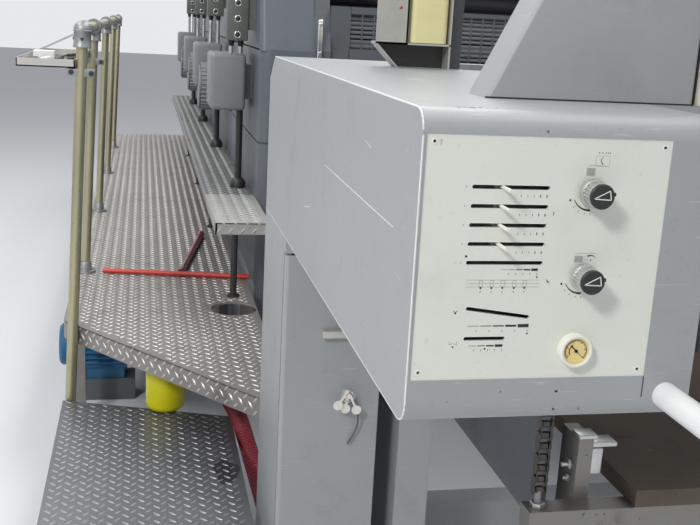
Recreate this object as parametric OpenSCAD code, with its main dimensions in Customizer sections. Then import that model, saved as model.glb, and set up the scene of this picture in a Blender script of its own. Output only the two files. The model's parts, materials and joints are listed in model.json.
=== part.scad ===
// Four-unit sheet-fed offset printing press with its walkways.
// Operator side is -X, the delivery end is -Y, the feeder end is +Y and the floor is z = 0.

/* [Printing units] */
// Distance from one printing unit to the next
unit_pitch = 1200; // [1160:10:1300]
// Gap between the lower covers of two units
unit_gap = 30; // [10:5:60]
// Half of the width over the side covers
cover_half_w = 950; // [920:10:1000]
// Depth of a side cover
cover_d = 190; // [150:10:220]
// Thickness of a cast side frame
frame_t = 60; // [50:5:80]
// Height of the seam between lower and upper cover
seam_z = 1027; // [980:1:1080]
// Depth of the seam groove
seam_d = 6; // [3:1:10]
// Height of the top of an upper cover
tower_top = 1960; // [1850:10:2100]
// Length of an upper cover
tower_len = 900; // [820:10:960]
// Height of the cast bed
bed_h = 60; // [50:5:80]
// Radius of a plate or blanket cylinder
plate_r = 135; // [125:1:140]
// Radius of an impression or transfer cylinder
drum_r = 270; // [260:1:275]
// Radius of an ink roller
ink_r = 42; // [36:1:46]
// Radius of the cylinder journals
journal_r = 45; // [40:1:60]
// Thickness of a guard sheet
guard_t = 20; // [12:1:30]

/* [Delivery] */
// Distance from the delivery front to the first printing unit
unit_setback = 2490; // [2440:10:2600]
// Half of the width over the two consoles
console_half_w = 1052; // [1030:1:1080]
// Width of a console
console_w = 370; // [360:1:380]
// Length of a console
console_len = 1386; // [1340:1:1420]
// Height of the underside of a console
console_z = 1003; // [980:1:1020]
// Height of a console body
console_h = 378; // [370:1:400]
// Radius of the rounded front edges of a console
console_r = 30; // [20:1:34]
// Length of the rear chamfer of a console
console_cut = 84; // [60:1:110]
// Width of the leg cabinet
cabinet_w = 230; // [210:1:240]
// Depth of the leg cabinet
cabinet_d = 371; // [340:1:400]
// Thickness of the cabinet walls
cabinet_t = 10; // [6:1:14]
// Thickness of the cabinet door
door_t = 20; // [16:1:24]
// Gap around the closed door
door_gap = 5; // [5:0.5:8]
// Radius of a door pivot pin
door_pin_r = 5; // [4:0.5:6]
// Width of the inner column
column_w = 80; // [70:1:85]
// Height of the lower edge of the hanging side plate
side_plate_z = 640; // [600:5:680]
// Thickness of the hanging side plate
side_plate_t = 8; // [6:1:12]
// Height of the hood over the console
hood_h = 420; // [360:10:480]
// Radius of the front guard bar
guard_bar_r = 17; // [15:0.5:19]
// Reach of the front guard bar beyond the console
guard_bar_reach = 330; // [280:10:380]

/* [Control panel] */
// Width of the control panel
panel_w = 300; // [296:1:304]
// Height of the control panel
panel_h = 292; // [288:1:296]
// Thickness of the control panel
panel_t = 4; // [3:0.5:6]
// Height of a lever slot
slot_h = 5; // [4.8:0.1:6]
// Length of a lever slot
slot_len = 95; // [88:1:100]
// Distance between lever slots
slot_pitch = 22.3; // [20:0.1:24]
// Radius of the running gap round a lever pin
lever_gap = 0.3; // [0.2:0.05:0.4]
// Radius of a knob skirt
knob_r = 17; // [15:0.5:20]
// Height of a knob
knob_h = 28; // [24:1:32]
// Clearance under a knob
knob_gap = 5; // [5:0.5:7]
// Radius of the vacuum gauge
gauge_r = 20; // [18:0.5:24]

/* [Pile hoist] */
// Pitch of the hoist chain
chain_pitch = 19.05;
// Radius of a chain roller
roller_r = 6.04;
// Height of the top of the pile carriage beams
carriage_z = 716; // [690:1:740]
// Size of a carriage beam
beam_w = 40; // [30:1:50]
// Thickness of the pile board
board_t = 30; // [20:1:40]

/* [Walkways] */
// Height of the platform
platform_z = 490; // [460:5:520]
// Half of the width over both platforms
platform_half_w = 1605; // [1560:5:1680]
// Height of the folded platform flange
platform_flange = 60; // [50:1:80]
// Thickness of a tread plate
tread_t = 6; // [5:0.5:8]
// Height of the step board
step_z = 820; // [800:5:850]
// Width of the step board
step_w = 178; // [170:1:190]
// Height of the lower step
lower_z = 250; // [230:5:270]
// Radius of a handrail tube
rail_r = 16.85; // [14:0.05:20]
// Height of the handrail fittings
rail_z = 1430; // [1380:5:1480]

/* [Feeder] */
// Length of the feed board
feed_len = 1000; // [900:10:1100]
// Length of the feeder frame
feeder_len = 1700; // [1600:10:1800]
// Height of the feeder frame
feeder_h = 1550; // [1480:10:1600]
// Half of the width over the feeder frame
feeder_half_w = 850; // [820:5:880]

/* [Hidden] */
$fn = 48;

// Places along the press
row_half = 2 * unit_pitch;
front_y = -row_half - unit_setback;
feed_y = row_half;
feeder_y = feed_y + feed_len;
console_back = front_y + console_len;
console_top = console_z + console_h;
console_in = console_half_w - console_w;
cabinet_y = console_back - cabinet_d;
frame_out = cover_half_w - cover_d;
frame_in = frame_out - frame_t;
seat = 0.3;
eps = 0.01;

// Cylinder axes [y, z] in a unit, each a nip away from the one that carries it
nip = 0.5;
function beside(p, dist, angle) = [p[0] + dist * cos(angle), p[1] + dist * sin(angle)];
drum_at = [300, 640];
transfer_at = beside(drum_at, 2 * drum_r + nip, -20);
blanket_at = beside(drum_at, drum_r + plate_r + nip, 65);
plate_at = beside(blanket_at, 2 * plate_r + nip, 75);
form_angles = [20, 60, 100, 150];
form_dist = plate_r + ink_r + nip;
train_start = beside(plate_at, form_dist * cos(20) + sqrt(pow(2 * ink_r + nip, 2)
    - pow(form_dist * sin(20), 2)), 80);
train_angles = [60, 110, 70];
function train(p, i) = i == len(train_angles) ? [p]
    : concat([p], train(beside(p, 2 * ink_r + nip, train_angles[i]), i + 1));
ink_train = train(train_start, 0);
fountain_r = 55;
fountain_at = beside(ink_train[len(train_angles)], ink_r + fountain_r + nip, 80);

// Control panel places, counted from the console's outer lower front corner
panel_x = -console_half_w + 5;
panel_z = console_z + 59;
panel_front = front_y + 1;
slot_x = panel_x + 57.5;
slot_top = panel_z + 232.8;
lever_r = slot_h / 2 - lever_gap;
lever_rest = 36;
knob_x = panel_x + 203;
knob_upper_z = panel_z + 229;
knob_lower_z = panel_z + 128;
gauge_x = panel_x + 202;
gauge_z = panel_z + 37;
pocket_d = 60;

// Door pivot
pivot_x = -console_half_w + door_t / 2;
pivot_y = cabinet_y + door_t / 2;
sill_h = 40;
header_h = 30;

// Hoist places
chain_x = console_in + 42;
hoist_front = front_y + 320;
hoist_back = front_y + 950;

module bar(x0, x1, y0, y1, z0, z1)
    translate([x0, y0, z0]) cube([x1 - x0, y1 - y0, z1 - z0]);

module both_sides() {
    children();
    mirror([1, 0, 0]) children();
}

// Extrudes a Y-Z outline along X
module along_x(x, len)
    translate([x, 0, 0]) rotate([90, 0, 90]) linear_extrude(len) children();

// Extrudes an X-Z outline along Y
module along_y(y, len)
    translate([0, y + len, 0]) rotate([90, 0, 0]) linear_extrude(len) children();

// Rectangle with round corners
module round_rect(x, y, w, h, r) {
    translate([x + r, y]) square([w - 2 * r, h]);
    translate([x, y + r]) square([w, h - 2 * r]);
    for (i = [r, w - r], j = [r, h - r]) translate([x + i, y + j]) circle(r);
}

// Slot outline, centred on its left round end
module slot_outline(len, h) {
    circle(h / 2);
    translate([0, -h / 2]) square([len - h, h]);
    translate([len - h, 0]) circle(h / 2);
}

module bed() color("dimgray") {
    bar(-frame_out, frame_out, -row_half, row_half, 0, 20);
    both_sides() bar(frame_in, frame_out, -row_half, row_half, 20, bed_h);
}

// Outline of one unit's side cover, seen from the side
module cover_outline() {
    len = unit_pitch - unit_gap;
    tower_y = (len - tower_len) / 2;
    translate([0, bed_h]) square([len, seam_z - bed_h - seam_d]);
    translate([seam_d, bed_h]) square([len - 2 * seam_d, seam_z - bed_h + 100]);
    translate([0, seam_z]) square([len, 330]);
    polygon([[0, seam_z + 330], [len, seam_z + 330], [tower_y + tower_len, tower_top - 120],
             [tower_y + tower_len - 60, tower_top], [tower_y + 60, tower_top],
             [tower_y, tower_top - 120]]);
}

module side_covers() {
    for (k = [0:3]) translate([0, -row_half + k * unit_pitch + unit_gap / 2, 0])
        along_x(frame_out, cover_d) cover_outline();
}

module operator_covers() color("slategray") mirror([1, 0, 0]) side_covers();
module drive_covers() color("slategray") side_covers();

// Cast side frames of one unit, tied by cross beams
module unit_frame(k) color("slategray")
    translate([0, -row_half + k * unit_pitch + unit_gap / 2, 0]) {
        len = unit_pitch - unit_gap;
        both_sides() along_x(frame_in, frame_t) difference() {
            translate([0, bed_h]) square([len, tower_top - bed_h - 90]);
            polygon([[-1, seam_z + 330], [140, tower_top - 200], [140, tower_top], [-1, tower_top]]);
            polygon([[len + 1, seam_z + 330], [len - 140, tower_top - 200],
                     [len - 140, tower_top], [len + 1, tower_top]]);
        }
        bar(-frame_in, frame_in, 20, 80, bed_h + 60, bed_h + 180);
        bar(-frame_in, frame_in, len - 80, len - 20, bed_h + 60, bed_h + 180);
        bar(-frame_in, frame_in, 20, 20 + guard_t, 940, 1340);
        bar(-frame_in, frame_in, len - 20 - guard_t, len - 20, 900, 1340);
    }

// One cylinder between the side frames, its axis at p = [y, z]
module roller(p, r, body_half, neck_r) translate([0, p[0], p[1]]) rotate([0, 90, 0]) {
    cylinder(r = r, h = 2 * body_half, center = true);
    cylinder(r = neck_r, h = 2 * (frame_in - seat), center = true);
}

module unit_cylinders(k) color("silver")
    translate([0, -row_half + k * unit_pitch + unit_gap / 2, 0]) {
        roller(drum_at, drum_r, 640, journal_r);
        roller(transfer_at, drum_r, 640, journal_r);
        roller(blanket_at, plate_r, 640, journal_r);
        roller(plate_at, plate_r, 640, journal_r);
    }

module unit_inker(k) color("gray")
    translate([0, -row_half + k * unit_pitch + unit_gap / 2, 0]) {
        for (a = form_angles) roller(beside(plate_at, form_dist, a), ink_r, 620, 20);
        for (p = ink_train) roller(p, ink_r, 620, 20);
        roller(fountain_at, fountain_r, 620, 20);
        y = fountain_at[0] - fountain_r;
        z = fountain_at[1];
        along_x(-620, 1240) polygon([[y - 220, z - 60], [y - 10, z - 40], [y - 4, z + 40], [y - 12, z + 40],
                                     [y - 20, z - 20], [y - 210, z - 40], [y - 212, z + 40], [y - 220, z + 40]]);
        both_sides() bar(620, frame_in, y - 220, y - 4, z - 60, z + 40);
    }

module unit_1_frame() unit_frame(0);
module unit_2_frame() unit_frame(1);
module unit_3_frame() unit_frame(2);
module unit_4_frame() unit_frame(3);
module unit_1_cylinders() unit_cylinders(0);
module unit_2_cylinders() unit_cylinders(1);
module unit_3_cylinders() unit_cylinders(2);
module unit_4_cylinders() unit_cylinders(3);
module unit_1_inker() unit_inker(0);
module unit_2_inker() unit_inker(1);
module unit_3_inker() unit_inker(2);
module unit_4_inker() unit_inker(3);

// Motor boxes on the operator side, each on a foot against the cover
box_in = cover_half_w + 30;
box_out = cover_half_w + 161;
box_y = 220;
box_len = 250;

module motor_boxes() color("gray")
    for (k = [0:3]) translate([0, -row_half + k * unit_pitch + box_y, 0]) {
        along_y(0, box_len) polygon([[-box_out, 1120], [-box_in, 1120], [-box_in, 1330],
                                     [-box_out + 8, 1302], [-box_out, 1288]]);
        bar(-box_in, -cover_half_w, 60, box_len - 60, 1160, 1290);
    }

module button_boxes() color("darkslategray")
    for (k = [0:3]) translate([0, -row_half + k * unit_pitch + box_y, 0]) {
        bar(-cover_half_w - 105, -cover_half_w - 27, -10, 50, 1378, 1640);
        bar(-cover_half_w - 27, -cover_half_w, 0, 40, 1420, 1600);
    }

// Side view of a console, with its round front edges and its rear chamfer
module console_outline() difference() {
    union() {
        translate([console_r, 0]) square([console_len - console_r, console_h]);
        translate([0, console_r]) square([console_r + eps, console_h - 2 * console_r]);
        for (z = [console_r, console_h - console_r]) translate([console_r, z]) circle(console_r);
    }
    polygon([[console_len - console_cut, console_h + 1], [console_len + 1, console_h + 1],
             [console_len + 1, console_h - 0.7 * console_cut], [console_len, console_h - 0.7 * console_cut],
             [console_len - console_cut, console_h]]);
}

module console_body() difference() {
    translate([0, front_y, console_z]) along_x(console_in, console_w) console_outline();
    bar(console_in + 14, console_in + 70, hoist_front - 60, hoist_back + 60, console_z - 1, console_z + 150);
}

module operator_console() color("lightsteelblue") difference() {
    mirror([1, 0, 0]) console_body();
    bar(panel_x, panel_x + panel_w, front_y - 1, panel_front + panel_t, panel_z, panel_z + panel_h);
    bar(panel_x + 30, panel_x + panel_w - 40, front_y, panel_front + panel_t + pocket_d,
        panel_z + 30, panel_z + panel_h - 30);
}

module drive_console() color("lightsteelblue") console_body();

// Front panel with lever slots and a bush under each knob
module control_panel() color("honeydew") {
    difference() {
        bar(panel_x, panel_x + panel_w, panel_front, panel_front + panel_t, panel_z, panel_z + panel_h);
        along_y(panel_front - 1, panel_t + 2) {
            for (i = [0:4]) translate([slot_x + slot_h / 2, slot_top - i * slot_pitch])
                slot_outline(slot_len, slot_h);
            translate([slot_x + 7, panel_z + 88]) rotate(-8) slot_outline(81, slot_h);
            translate([slot_x + 7, panel_z + 51]) slot_outline(52, slot_h);
        }
    }
    for (z = [knob_upper_z, knob_lower_z]) translate([knob_x, panel_front, z]) rotate([90, 0, 0])
        cylinder(r = 8, h = knob_gap - seat);
}

module knob(z) color("black") translate([knob_x, panel_front - knob_gap, z]) rotate([90, 0, 0]) {
    cylinder(r = knob_r, h = 8);
    cylinder(r = 0.8 * knob_r, h = knob_h);
}

module knob_upper() knob(knob_upper_z);
module knob_lower() knob(knob_lower_z);

module lever(i) color("ivory")
    translate([slot_x + slot_len / 2 - 10, panel_front, slot_top - i * slot_pitch]) rotate([90, 0, 0]) {
        translate([0, 0, -panel_t - 20]) cylinder(r = lever_r, h = panel_t + 48);
        translate([0, 0, -panel_t - 20]) cylinder(r = 6, h = 12);
    }

module lever_1() lever(0);
module lever_2() lever(1);
module lever_3() lever(2);
module lever_4() lever(3);

module vacuum_gauge() color("white") translate([gauge_x, panel_front, gauge_z]) rotate([90, 0, 0])
    difference() {
        cylinder(r = gauge_r, h = 12);
        translate([0, 0, 9]) cylinder(r = gauge_r - 3, h = 4);
    }

// Sheet-metal leg under the operator console, open at the front for its door
module leg_cabinet() color("lightsteelblue") {
    x0 = -console_half_w;
    x1 = x0 + cabinet_w;
    y1 = cabinet_y + door_t + door_gap;
    difference() {
        union() {
            bar(x0, x1, y1, console_back, 0, console_z);
            bar(x0, x1, cabinet_y, y1, 0, sill_h);
            bar(x0, x1, cabinet_y, y1, console_z - header_h, console_z);
        }
        bar(x0 + cabinet_t, x1 - cabinet_t, y1 - 1, console_back - cabinet_t, sill_h, console_z - header_h);
        translate([pivot_x, pivot_y, sill_h - 15]) cylinder(r = door_pin_r + seat, h = 20);
        translate([pivot_x, pivot_y, console_z - header_h - 1]) cylinder(r = door_pin_r + seat, h = 16);
    }
}

// Cabinet door with its pivot pins, handle and lock
module service_door() color("lightsteelblue") {
    z0 = sill_h + door_gap;
    z1 = console_z - header_h - door_gap;
    x1 = -console_half_w + cabinet_w;
    bar(pivot_x, x1 - 2, cabinet_y, cabinet_y + door_t, z0, z1);
    translate([pivot_x, pivot_y, z0]) cylinder(r = door_t / 2, h = z1 - z0);
    translate([pivot_x, pivot_y, sill_h - 12]) cylinder(r = door_pin_r, h = z1 - sill_h + 12 + door_gap + 12);
    bar(x1 - 118, x1 - 60, cabinet_y - 14, cabinet_y, 783, 797);
    translate([x1 - 78, cabinet_y, 641]) rotate([90, 0, 0]) cylinder(r = 12, h = 10);
}

module drive_leg() color("lightsteelblue")
    bar(console_half_w - cabinet_w, console_half_w, cabinet_y, console_back, 0, console_z);

// Inner columns beside the cabinets, tied across the press
module delivery_columns() color("lightsteelblue") {
    both_sides() bar(console_in + 8, console_in + 8 + column_w, cabinet_y, console_back, 0, console_z);
    bar(-console_in - 8, console_in + 8, console_back - 80, console_back, 60, 200);
    bar(-console_in, console_in, console_back - 60, console_back, console_z + 60, console_top);
}

// Hanging side plates with an outward flange along the lower edge
module side_plates() color("dimgray") both_sides() {
    x0 = console_in + 8 - side_plate_t;
    difference() {
        bar(x0, x0 + side_plate_t, front_y + 380, console_back - 80, side_plate_z, console_z);
        bar(x0 - 1, x0 + side_plate_t + 1, hoist_back - 40, hoist_back + 40, side_plate_z - 1, console_z - 60);
    }
}

// Hood over the pile, with leaning side cheeks
module delivery_hood() color("lightsteelblue") {
    w = console_half_w - 126;
    along_y(front_y + 160, 60) polygon([[-w, console_top], [w, console_top],
        [w - 0.56 * hood_h, console_top + hood_h], [-w + 0.56 * hood_h, console_top + hood_h]]);
    bar(-console_in + 40, console_in - 40, front_y + 220, console_back - 200, console_top, console_top + 240);
}

module powder_box() color("silver") {
    x0 = -886;
    difference() {
        bar(x0, -725, front_y + 980, front_y + 1140, 1432, 1760);
        bar(x0 + 84, -725 - 4, front_y + 979, front_y + 1080, 1436, 1761);
    }
    along_y(front_y + 980, 160) polygon([[x0, 1432], [-725, 1432], [-725, console_top], [-838, console_top]]);
}

// Tube in front of the pile, fixed to both consoles
module guard_bar() color("white") {
    x = console_in + 33;
    z = console_z + 33;
    y = front_y - guard_bar_reach;
    both_sides() {
        translate([x, front_y, z]) rotate([90, 0, 0]) cylinder(r = guard_bar_r, h = guard_bar_reach - 60);
        translate([x - 60, y + 60, z]) rotate([0, 0, -90]) rotate_extrude(angle = 90)
            translate([60, 0]) circle(guard_bar_r);
    }
    translate([0, y, z]) rotate([0, 90, 0]) cylinder(r = guard_bar_r, h = 2 * (x - 60), center = true);
}

module hoist_chains() color("black") both_sides() for (y = [hoist_front, hoist_back])
    bar(chain_x - 12, chain_x + 12, y - 8, y + 8, carriage_z + 30, console_z + 150);

// Beams that carry the pile board, hung on the chains
module pile_carriage() color("gray") {
    for (y = [hoist_front, hoist_back])
        bar(-chain_x - 20, chain_x + 20, y - beam_w / 2, y + beam_w / 2, carriage_z - beam_w, carriage_z);
    both_sides() for (y = [hoist_front, hoist_back])
        translate([chain_x, y, carriage_z]) cylinder(r = 6, h = 30);
    both_sides() bar(626, 652, hoist_front + beam_w / 2, hoist_front + beam_w / 2 + 66, 440, 823);
}

module pile_board() color("burlywood")
    bar(-560, 560, hoist_front - 20, hoist_back + 20, carriage_z, carriage_z + board_t);

// Closed chain guide from the first unit up to the delivery
tunnel_end = -row_half + unit_gap / 2 + 20;
module chain_tunnel() color("slategray")
    along_x(-600, 1200) polygon([[console_back, 1100], [console_back, console_top],
        [tunnel_end, 1000], [tunnel_end, 700]]);

// Tread plate platforms along both sides
platform_in = cover_half_w + 20;
platform_back = row_half - 110;
platform_front = front_y + 2098;
module platform_outline() polygon([[-platform_in, console_back + 2], [-console_half_w, console_back + 2],
    [-platform_half_w, platform_front], [-platform_half_w, platform_back], [-platform_in, platform_back]]);

module platforms() color("silver") both_sides() {
    difference() {
        translate([0, 0, platform_z - tread_t]) linear_extrude(tread_t) platform_outline();
        translate([-cover_half_w - 100, front_y + 2245, 0]) cylinder(r = 75, h = platform_z + 1);
    }
    bar(-platform_half_w, -platform_half_w + tread_t, platform_front, platform_back,
        platform_z - platform_flange, platform_z - tread_t);
    for (y = [front_y + 2250, front_y + 3400, front_y + 4600, front_y + 5800, platform_back - 40],
         x = [-platform_half_w + tread_t, -platform_in - 40])
        bar(x, x + 40, y - 20, y + 20, 0, platform_z - tread_t);
}

module step_boards() color("gray") both_sides() {
    y0 = front_y + 2080;
    x1 = -cover_half_w;
    bar(x1 - step_w, x1, y0, row_half - 200, step_z - 40, step_z);
    for (y = [y0 + 290, y0 + 1490, y0 + 2690, y0 + 3890])
        translate([x1 - step_w + 90, y, platform_z]) cylinder(r = 12, h = step_z - 40 - platform_z);
}

module lower_steps() color("dimgray") both_sides() {
    bar(-platform_half_w, -1085, front_y + 1060, front_y + 1876, lower_z - 40, lower_z);
    for (x = [-platform_half_w, -1085 - 40], y = [front_y + 1100, front_y + 1800])
        bar(x, x + 40, y, y + 40, 0, lower_z - 40);
    bar(-platform_half_w + tread_t, -platform_half_w + tread_t + 40, front_y + 1876, front_y + 2230,
        lower_z - 40, lower_z);
}

post_x = -platform_half_w + 27;
post_ys = [2140, 2720, 3920, 4940, 6070];
module handrails() color("khaki") both_sides() {
    for (r = post_ys) translate([post_x, front_y + r, platform_z]) {
        cylinder(r = rail_r, h = rail_z - platform_z);
        cylinder(r = 40, h = 8);
        translate([0, 0, rail_z - platform_z - 70]) cylinder(r = 26, h = 76);
    }
    translate([post_x, front_y + post_ys[0], rail_z - 10]) rotate([-90, 0, 0])
        cylinder(r = rail_r, h = post_ys[4] - post_ys[0]);
}

module tool_tray() color("silver") difference() {
    bar(post_x - 200, post_x - rail_r - seat, front_y + 2100, front_y + 2700, 1296, 1320);
    bar(post_x - 196, post_x - rail_r - 4, front_y + 2104, front_y + 2696, 1300, 1321);
}

// Pump on its foot, with a pipe to the filter bowl
bowl_at = [-1282, front_y + 1930];
bowl_r = 58;
bowl_z = 300;
pump_y = front_y + 2640;
pump_z = 195;
pipe_z = 360;
module pump() color("steelblue") {
    translate([-1545, pump_y, pump_z]) rotate([0, 90, 0]) cylinder(r = 90, h = 200);
    translate([-1345, pump_y, pump_z]) rotate([0, 90, 0]) cylinder(r = 70, h = 100);
    bar(-1535, -1355, pump_y - 60, pump_y + 60, 0, 110);
    translate([bowl_at[0], pump_y, pump_z]) cylinder(r = 20, h = pipe_z - pump_z);
    translate([bowl_at[0], pump_y, pipe_z]) sphere(20);
    translate([bowl_at[0], bowl_at[1] + bowl_r + seat, pipe_z]) rotate([-90, 0, 0])
        cylinder(r = 20, h = pump_y - bowl_at[1] - bowl_r - seat);
}

module filter_bowl() color("yellow") translate([bowl_at[0], bowl_at[1], bowl_z]) {
    cylinder(r = bowl_r, h = 130);
    cylinder(r = 20, h = platform_z - tread_t - bowl_z);
}

module suction_hose() color("firebrick")
    translate([-1140, front_y + 1980, 200]) cylinder(r = 27, h = platform_z - tread_t - 200);

// Sloped board that carries the sheets from the feeder to the first unit
module feed_board() color("silver") {
    along_x(-600, 1200) polygon([[feed_y, 800], [feeder_y, 1000], [feeder_y, 1030], [feed_y, 830]]);
    both_sides() along_x(600, 40) polygon([[feed_y, 0], [feeder_y, 0], [feeder_y, 1060], [feed_y, 860]]);
}

module feeder_frame() color("slategray") {
    both_sides() bar(feeder_half_w - 120, feeder_half_w, feeder_y, feeder_y + feeder_len, 0, feeder_h);
    bar(-feeder_half_w + 120, feeder_half_w - 120, feeder_y, feeder_y + 80, feeder_h - 160, feeder_h);
    bar(-feeder_half_w + 120, feeder_half_w - 120, feeder_y + feeder_len - 80, feeder_y + feeder_len,
        feeder_h - 160, feeder_h);
    bar(-feeder_half_w + 120, feeder_half_w - 120, feeder_y, feeder_y + 80, 0, 200);
}

module feeder_pile_board() color("burlywood")
    bar(-feeder_half_w + 120 + seat, feeder_half_w - 120 - seat, feeder_y + 300, feeder_y + 1300, 300, 340);

module suction_head() color("silver")
    bar(-feeder_half_w + 120, feeder_half_w - 120, feeder_y + 80, feeder_y + 320, feeder_h - 150, feeder_h - 40);

bed();
operator_covers();
drive_covers();
unit_1_frame();
unit_2_frame();
unit_3_frame();
unit_4_frame();
unit_1_cylinders();
unit_2_cylinders();
unit_3_cylinders();
unit_4_cylinders();
unit_1_inker();
unit_2_inker();
unit_3_inker();
unit_4_inker();
motor_boxes();
button_boxes();
operator_console();
drive_console();
control_panel();
vacuum_gauge();
knob_upper();
knob_lower();
lever_1();
lever_2();
lever_3();
lever_4();
leg_cabinet();
service_door();
drive_leg();
delivery_columns();
side_plates();
delivery_hood();
powder_box();
guard_bar();
hoist_chains();
pile_carriage();
pile_board();
chain_tunnel();
platforms();
step_boards();
lower_steps();
handrails();
tool_tray();
pump();
filter_bowl();
suction_hose();
feed_board();
feeder_frame();
feeder_pile_board();
suction_head();
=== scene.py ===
# %% [markdown]
# This lesson dresses a sheet-fed offset printing press. The frame comes first: it holds every
# part at its real place, in metres, with the delivery end towards -Y and the operator side at -X.
# %% Load the frame
import json
import math
import bpy
import numpy as np
from mathutils import Matrix


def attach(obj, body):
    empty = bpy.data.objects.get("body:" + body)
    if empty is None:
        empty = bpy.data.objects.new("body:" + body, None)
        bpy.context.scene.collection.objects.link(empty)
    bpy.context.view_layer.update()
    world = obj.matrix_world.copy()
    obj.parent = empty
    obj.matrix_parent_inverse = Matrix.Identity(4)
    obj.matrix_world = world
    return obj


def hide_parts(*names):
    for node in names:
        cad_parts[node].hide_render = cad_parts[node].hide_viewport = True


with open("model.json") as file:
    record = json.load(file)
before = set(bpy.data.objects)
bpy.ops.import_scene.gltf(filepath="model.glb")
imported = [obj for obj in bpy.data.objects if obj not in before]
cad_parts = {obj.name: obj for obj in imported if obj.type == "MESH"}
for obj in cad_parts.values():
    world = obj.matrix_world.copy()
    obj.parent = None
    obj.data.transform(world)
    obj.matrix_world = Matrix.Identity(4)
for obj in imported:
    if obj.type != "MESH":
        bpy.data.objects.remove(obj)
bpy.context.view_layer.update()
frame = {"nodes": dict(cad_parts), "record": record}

scene = bpy.context.scene
nodes = frame["nodes"]

# %% [markdown]
# A camera matrix can be built straight from three directions. The press lies along Y, so the
# picture's two vanishing points give where X and Y point as the lens sees them, and the third
# direction is their cross product. The focal length then fixes the lens.
# %% Camera at the delivery end
IMAGE_W = 700
IMAGE_H = 525
FOCAL_PX = 990.0
VANISH_X = (5090.0, 277.0)
VANISH_Y = (144.0, 10.0)
EYE = (-1.355, -5.9505, 1.47)


def unit(v):
    """The vector divided by its length."""
    return np.asarray(v, float) / np.linalg.norm(v)


def towards(point):
    """Direction of an image point in lens axes: right, down, forward."""
    return unit((point[0] - IMAGE_W / 2, point[1] - IMAGE_H / 2, FOCAL_PX))


def set_camera():
    """Lens axes times world axes gives the turn; Blender's camera looks along its own -Z."""
    x_dir = towards(VANISH_X)
    y_dir = towards(VANISH_Y)
    y_dir = unit(y_dir - x_dir * np.dot(x_dir, y_dir))
    z_dir = np.cross(x_dir, y_dir)
    z_dir *= -np.sign(z_dir[1])
    turn = np.stack([x_dir, y_dir, z_dir], 1)
    right, down, forward = turn[0], turn[1], turn[2]
    cam = bpy.data.cameras.new("camera")
    cam.sensor_width = 36.0
    cam.lens = 36.0 * FOCAL_PX / IMAGE_W
    cam.clip_end = 60.0
    obj = bpy.data.objects.new("camera", cam)
    scene.collection.objects.link(obj)
    rows = np.eye(4)
    rows[:3, 0] = right
    rows[:3, 1] = -down
    rows[:3, 2] = -forward
    rows[:3, 3] = EYE
    obj.matrix_world = Matrix(rows.tolist())
    scene.camera = obj
    return obj


camera = set_camera()
print("lens", round(camera.data.lens, 2), "mm")

# %% [markdown]
# A workshop is lit by rows of tubes overhead, and one lamp in front throws the soft shadows of the
# knobs down to the right. Large area lamps give that light, and a pale world fills the shadows. The
# view transform stays Standard, so a colour shows as written.
# %% Light and world
scene.view_settings.view_transform = "Standard"
BACKDROP = (0.80, 0.81, 0.83)


def lamp(name, place, aim, size, watts, tint=(1, 1, 1)):
    """Area lamp at place whose -Z points to aim."""
    data = bpy.data.lights.new(name, "AREA")
    data.shape = "RECTANGLE"
    data.size, data.size_y = size
    data.energy = watts
    data.color = tint
    obj = bpy.data.objects.new(name, data)
    scene.collection.objects.link(obj)
    back = unit(np.subtract(place, aim))
    side = unit(np.cross((0.03, 1, 0.01), back))
    rows = np.eye(4)
    rows[:3, 0] = side
    rows[:3, 1] = np.cross(back, side)
    rows[:3, 2] = back
    rows[:3, 3] = place
    obj.matrix_world = Matrix(rows.tolist())
    return obj


lamp("tubes_over_aisle", (-3.4, -2.5, 4.8), (-1.2, -2.5, 0.6), (1.6, 9.0), 150)
lamp("tubes_over_press", (0.9, -1.5, 5.4), (-0.3, -2.0, 1.0), (2.0, 10.0), 210)
lamp("front_key", (-4.3, -7.9, 4.4), (-0.9, -4.9, 1.2), (0.8, 0.8), 150)


def set_world():
    """Camera, glossy and transmission rays see the backdrop; other rays see a soft fill."""
    world = bpy.data.worlds.new("world")
    scene.world = world
    world.use_nodes = True
    tree = world.node_tree
    tree.nodes.clear()
    out = tree.nodes.new("ShaderNodeOutputWorld")
    mix = tree.nodes.new("ShaderNodeMixShader")
    fill = tree.nodes.new("ShaderNodeBackground")
    show = tree.nodes.new("ShaderNodeBackground")
    path = tree.nodes.new("ShaderNodeLightPath")
    fill.inputs["Color"].default_value = (0.93, 0.96, 1.0, 1)
    fill.inputs["Strength"].default_value = 0.38
    show.inputs["Color"].default_value = (*BACKDROP, 1)
    show.inputs["Strength"].default_value = 1.0
    seen = tree.nodes.new("ShaderNodeMath")
    seen.operation = "MAXIMUM"
    both = tree.nodes.new("ShaderNodeMath")
    both.operation = "MAXIMUM"
    tree.links.new(path.outputs["Is Camera Ray"], seen.inputs[0])
    tree.links.new(path.outputs["Is Transmission Ray"], seen.inputs[1])
    tree.links.new(seen.outputs[0], both.inputs[0])
    tree.links.new(path.outputs["Is Glossy Ray"], both.inputs[1])
    tree.links.new(both.outputs[0], mix.inputs[0])
    tree.links.new(fill.outputs[0], mix.inputs[1])
    tree.links.new(show.outputs[0], mix.inputs[2])
    tree.links.new(mix.outputs[0], out.inputs[0])


set_world()
print("lamps", len(bpy.data.lights))

# %% [markdown]
# Most surfaces here are old enamel on steel: an even coat with cloudy fading, oily dirt and fine
# scratches. That effect is one node group with named inputs, placed in each material with its own
# values. A group gives out only colours, masks and heights; the shader stays in the material.
# %% Node group for aged surfaces


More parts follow.
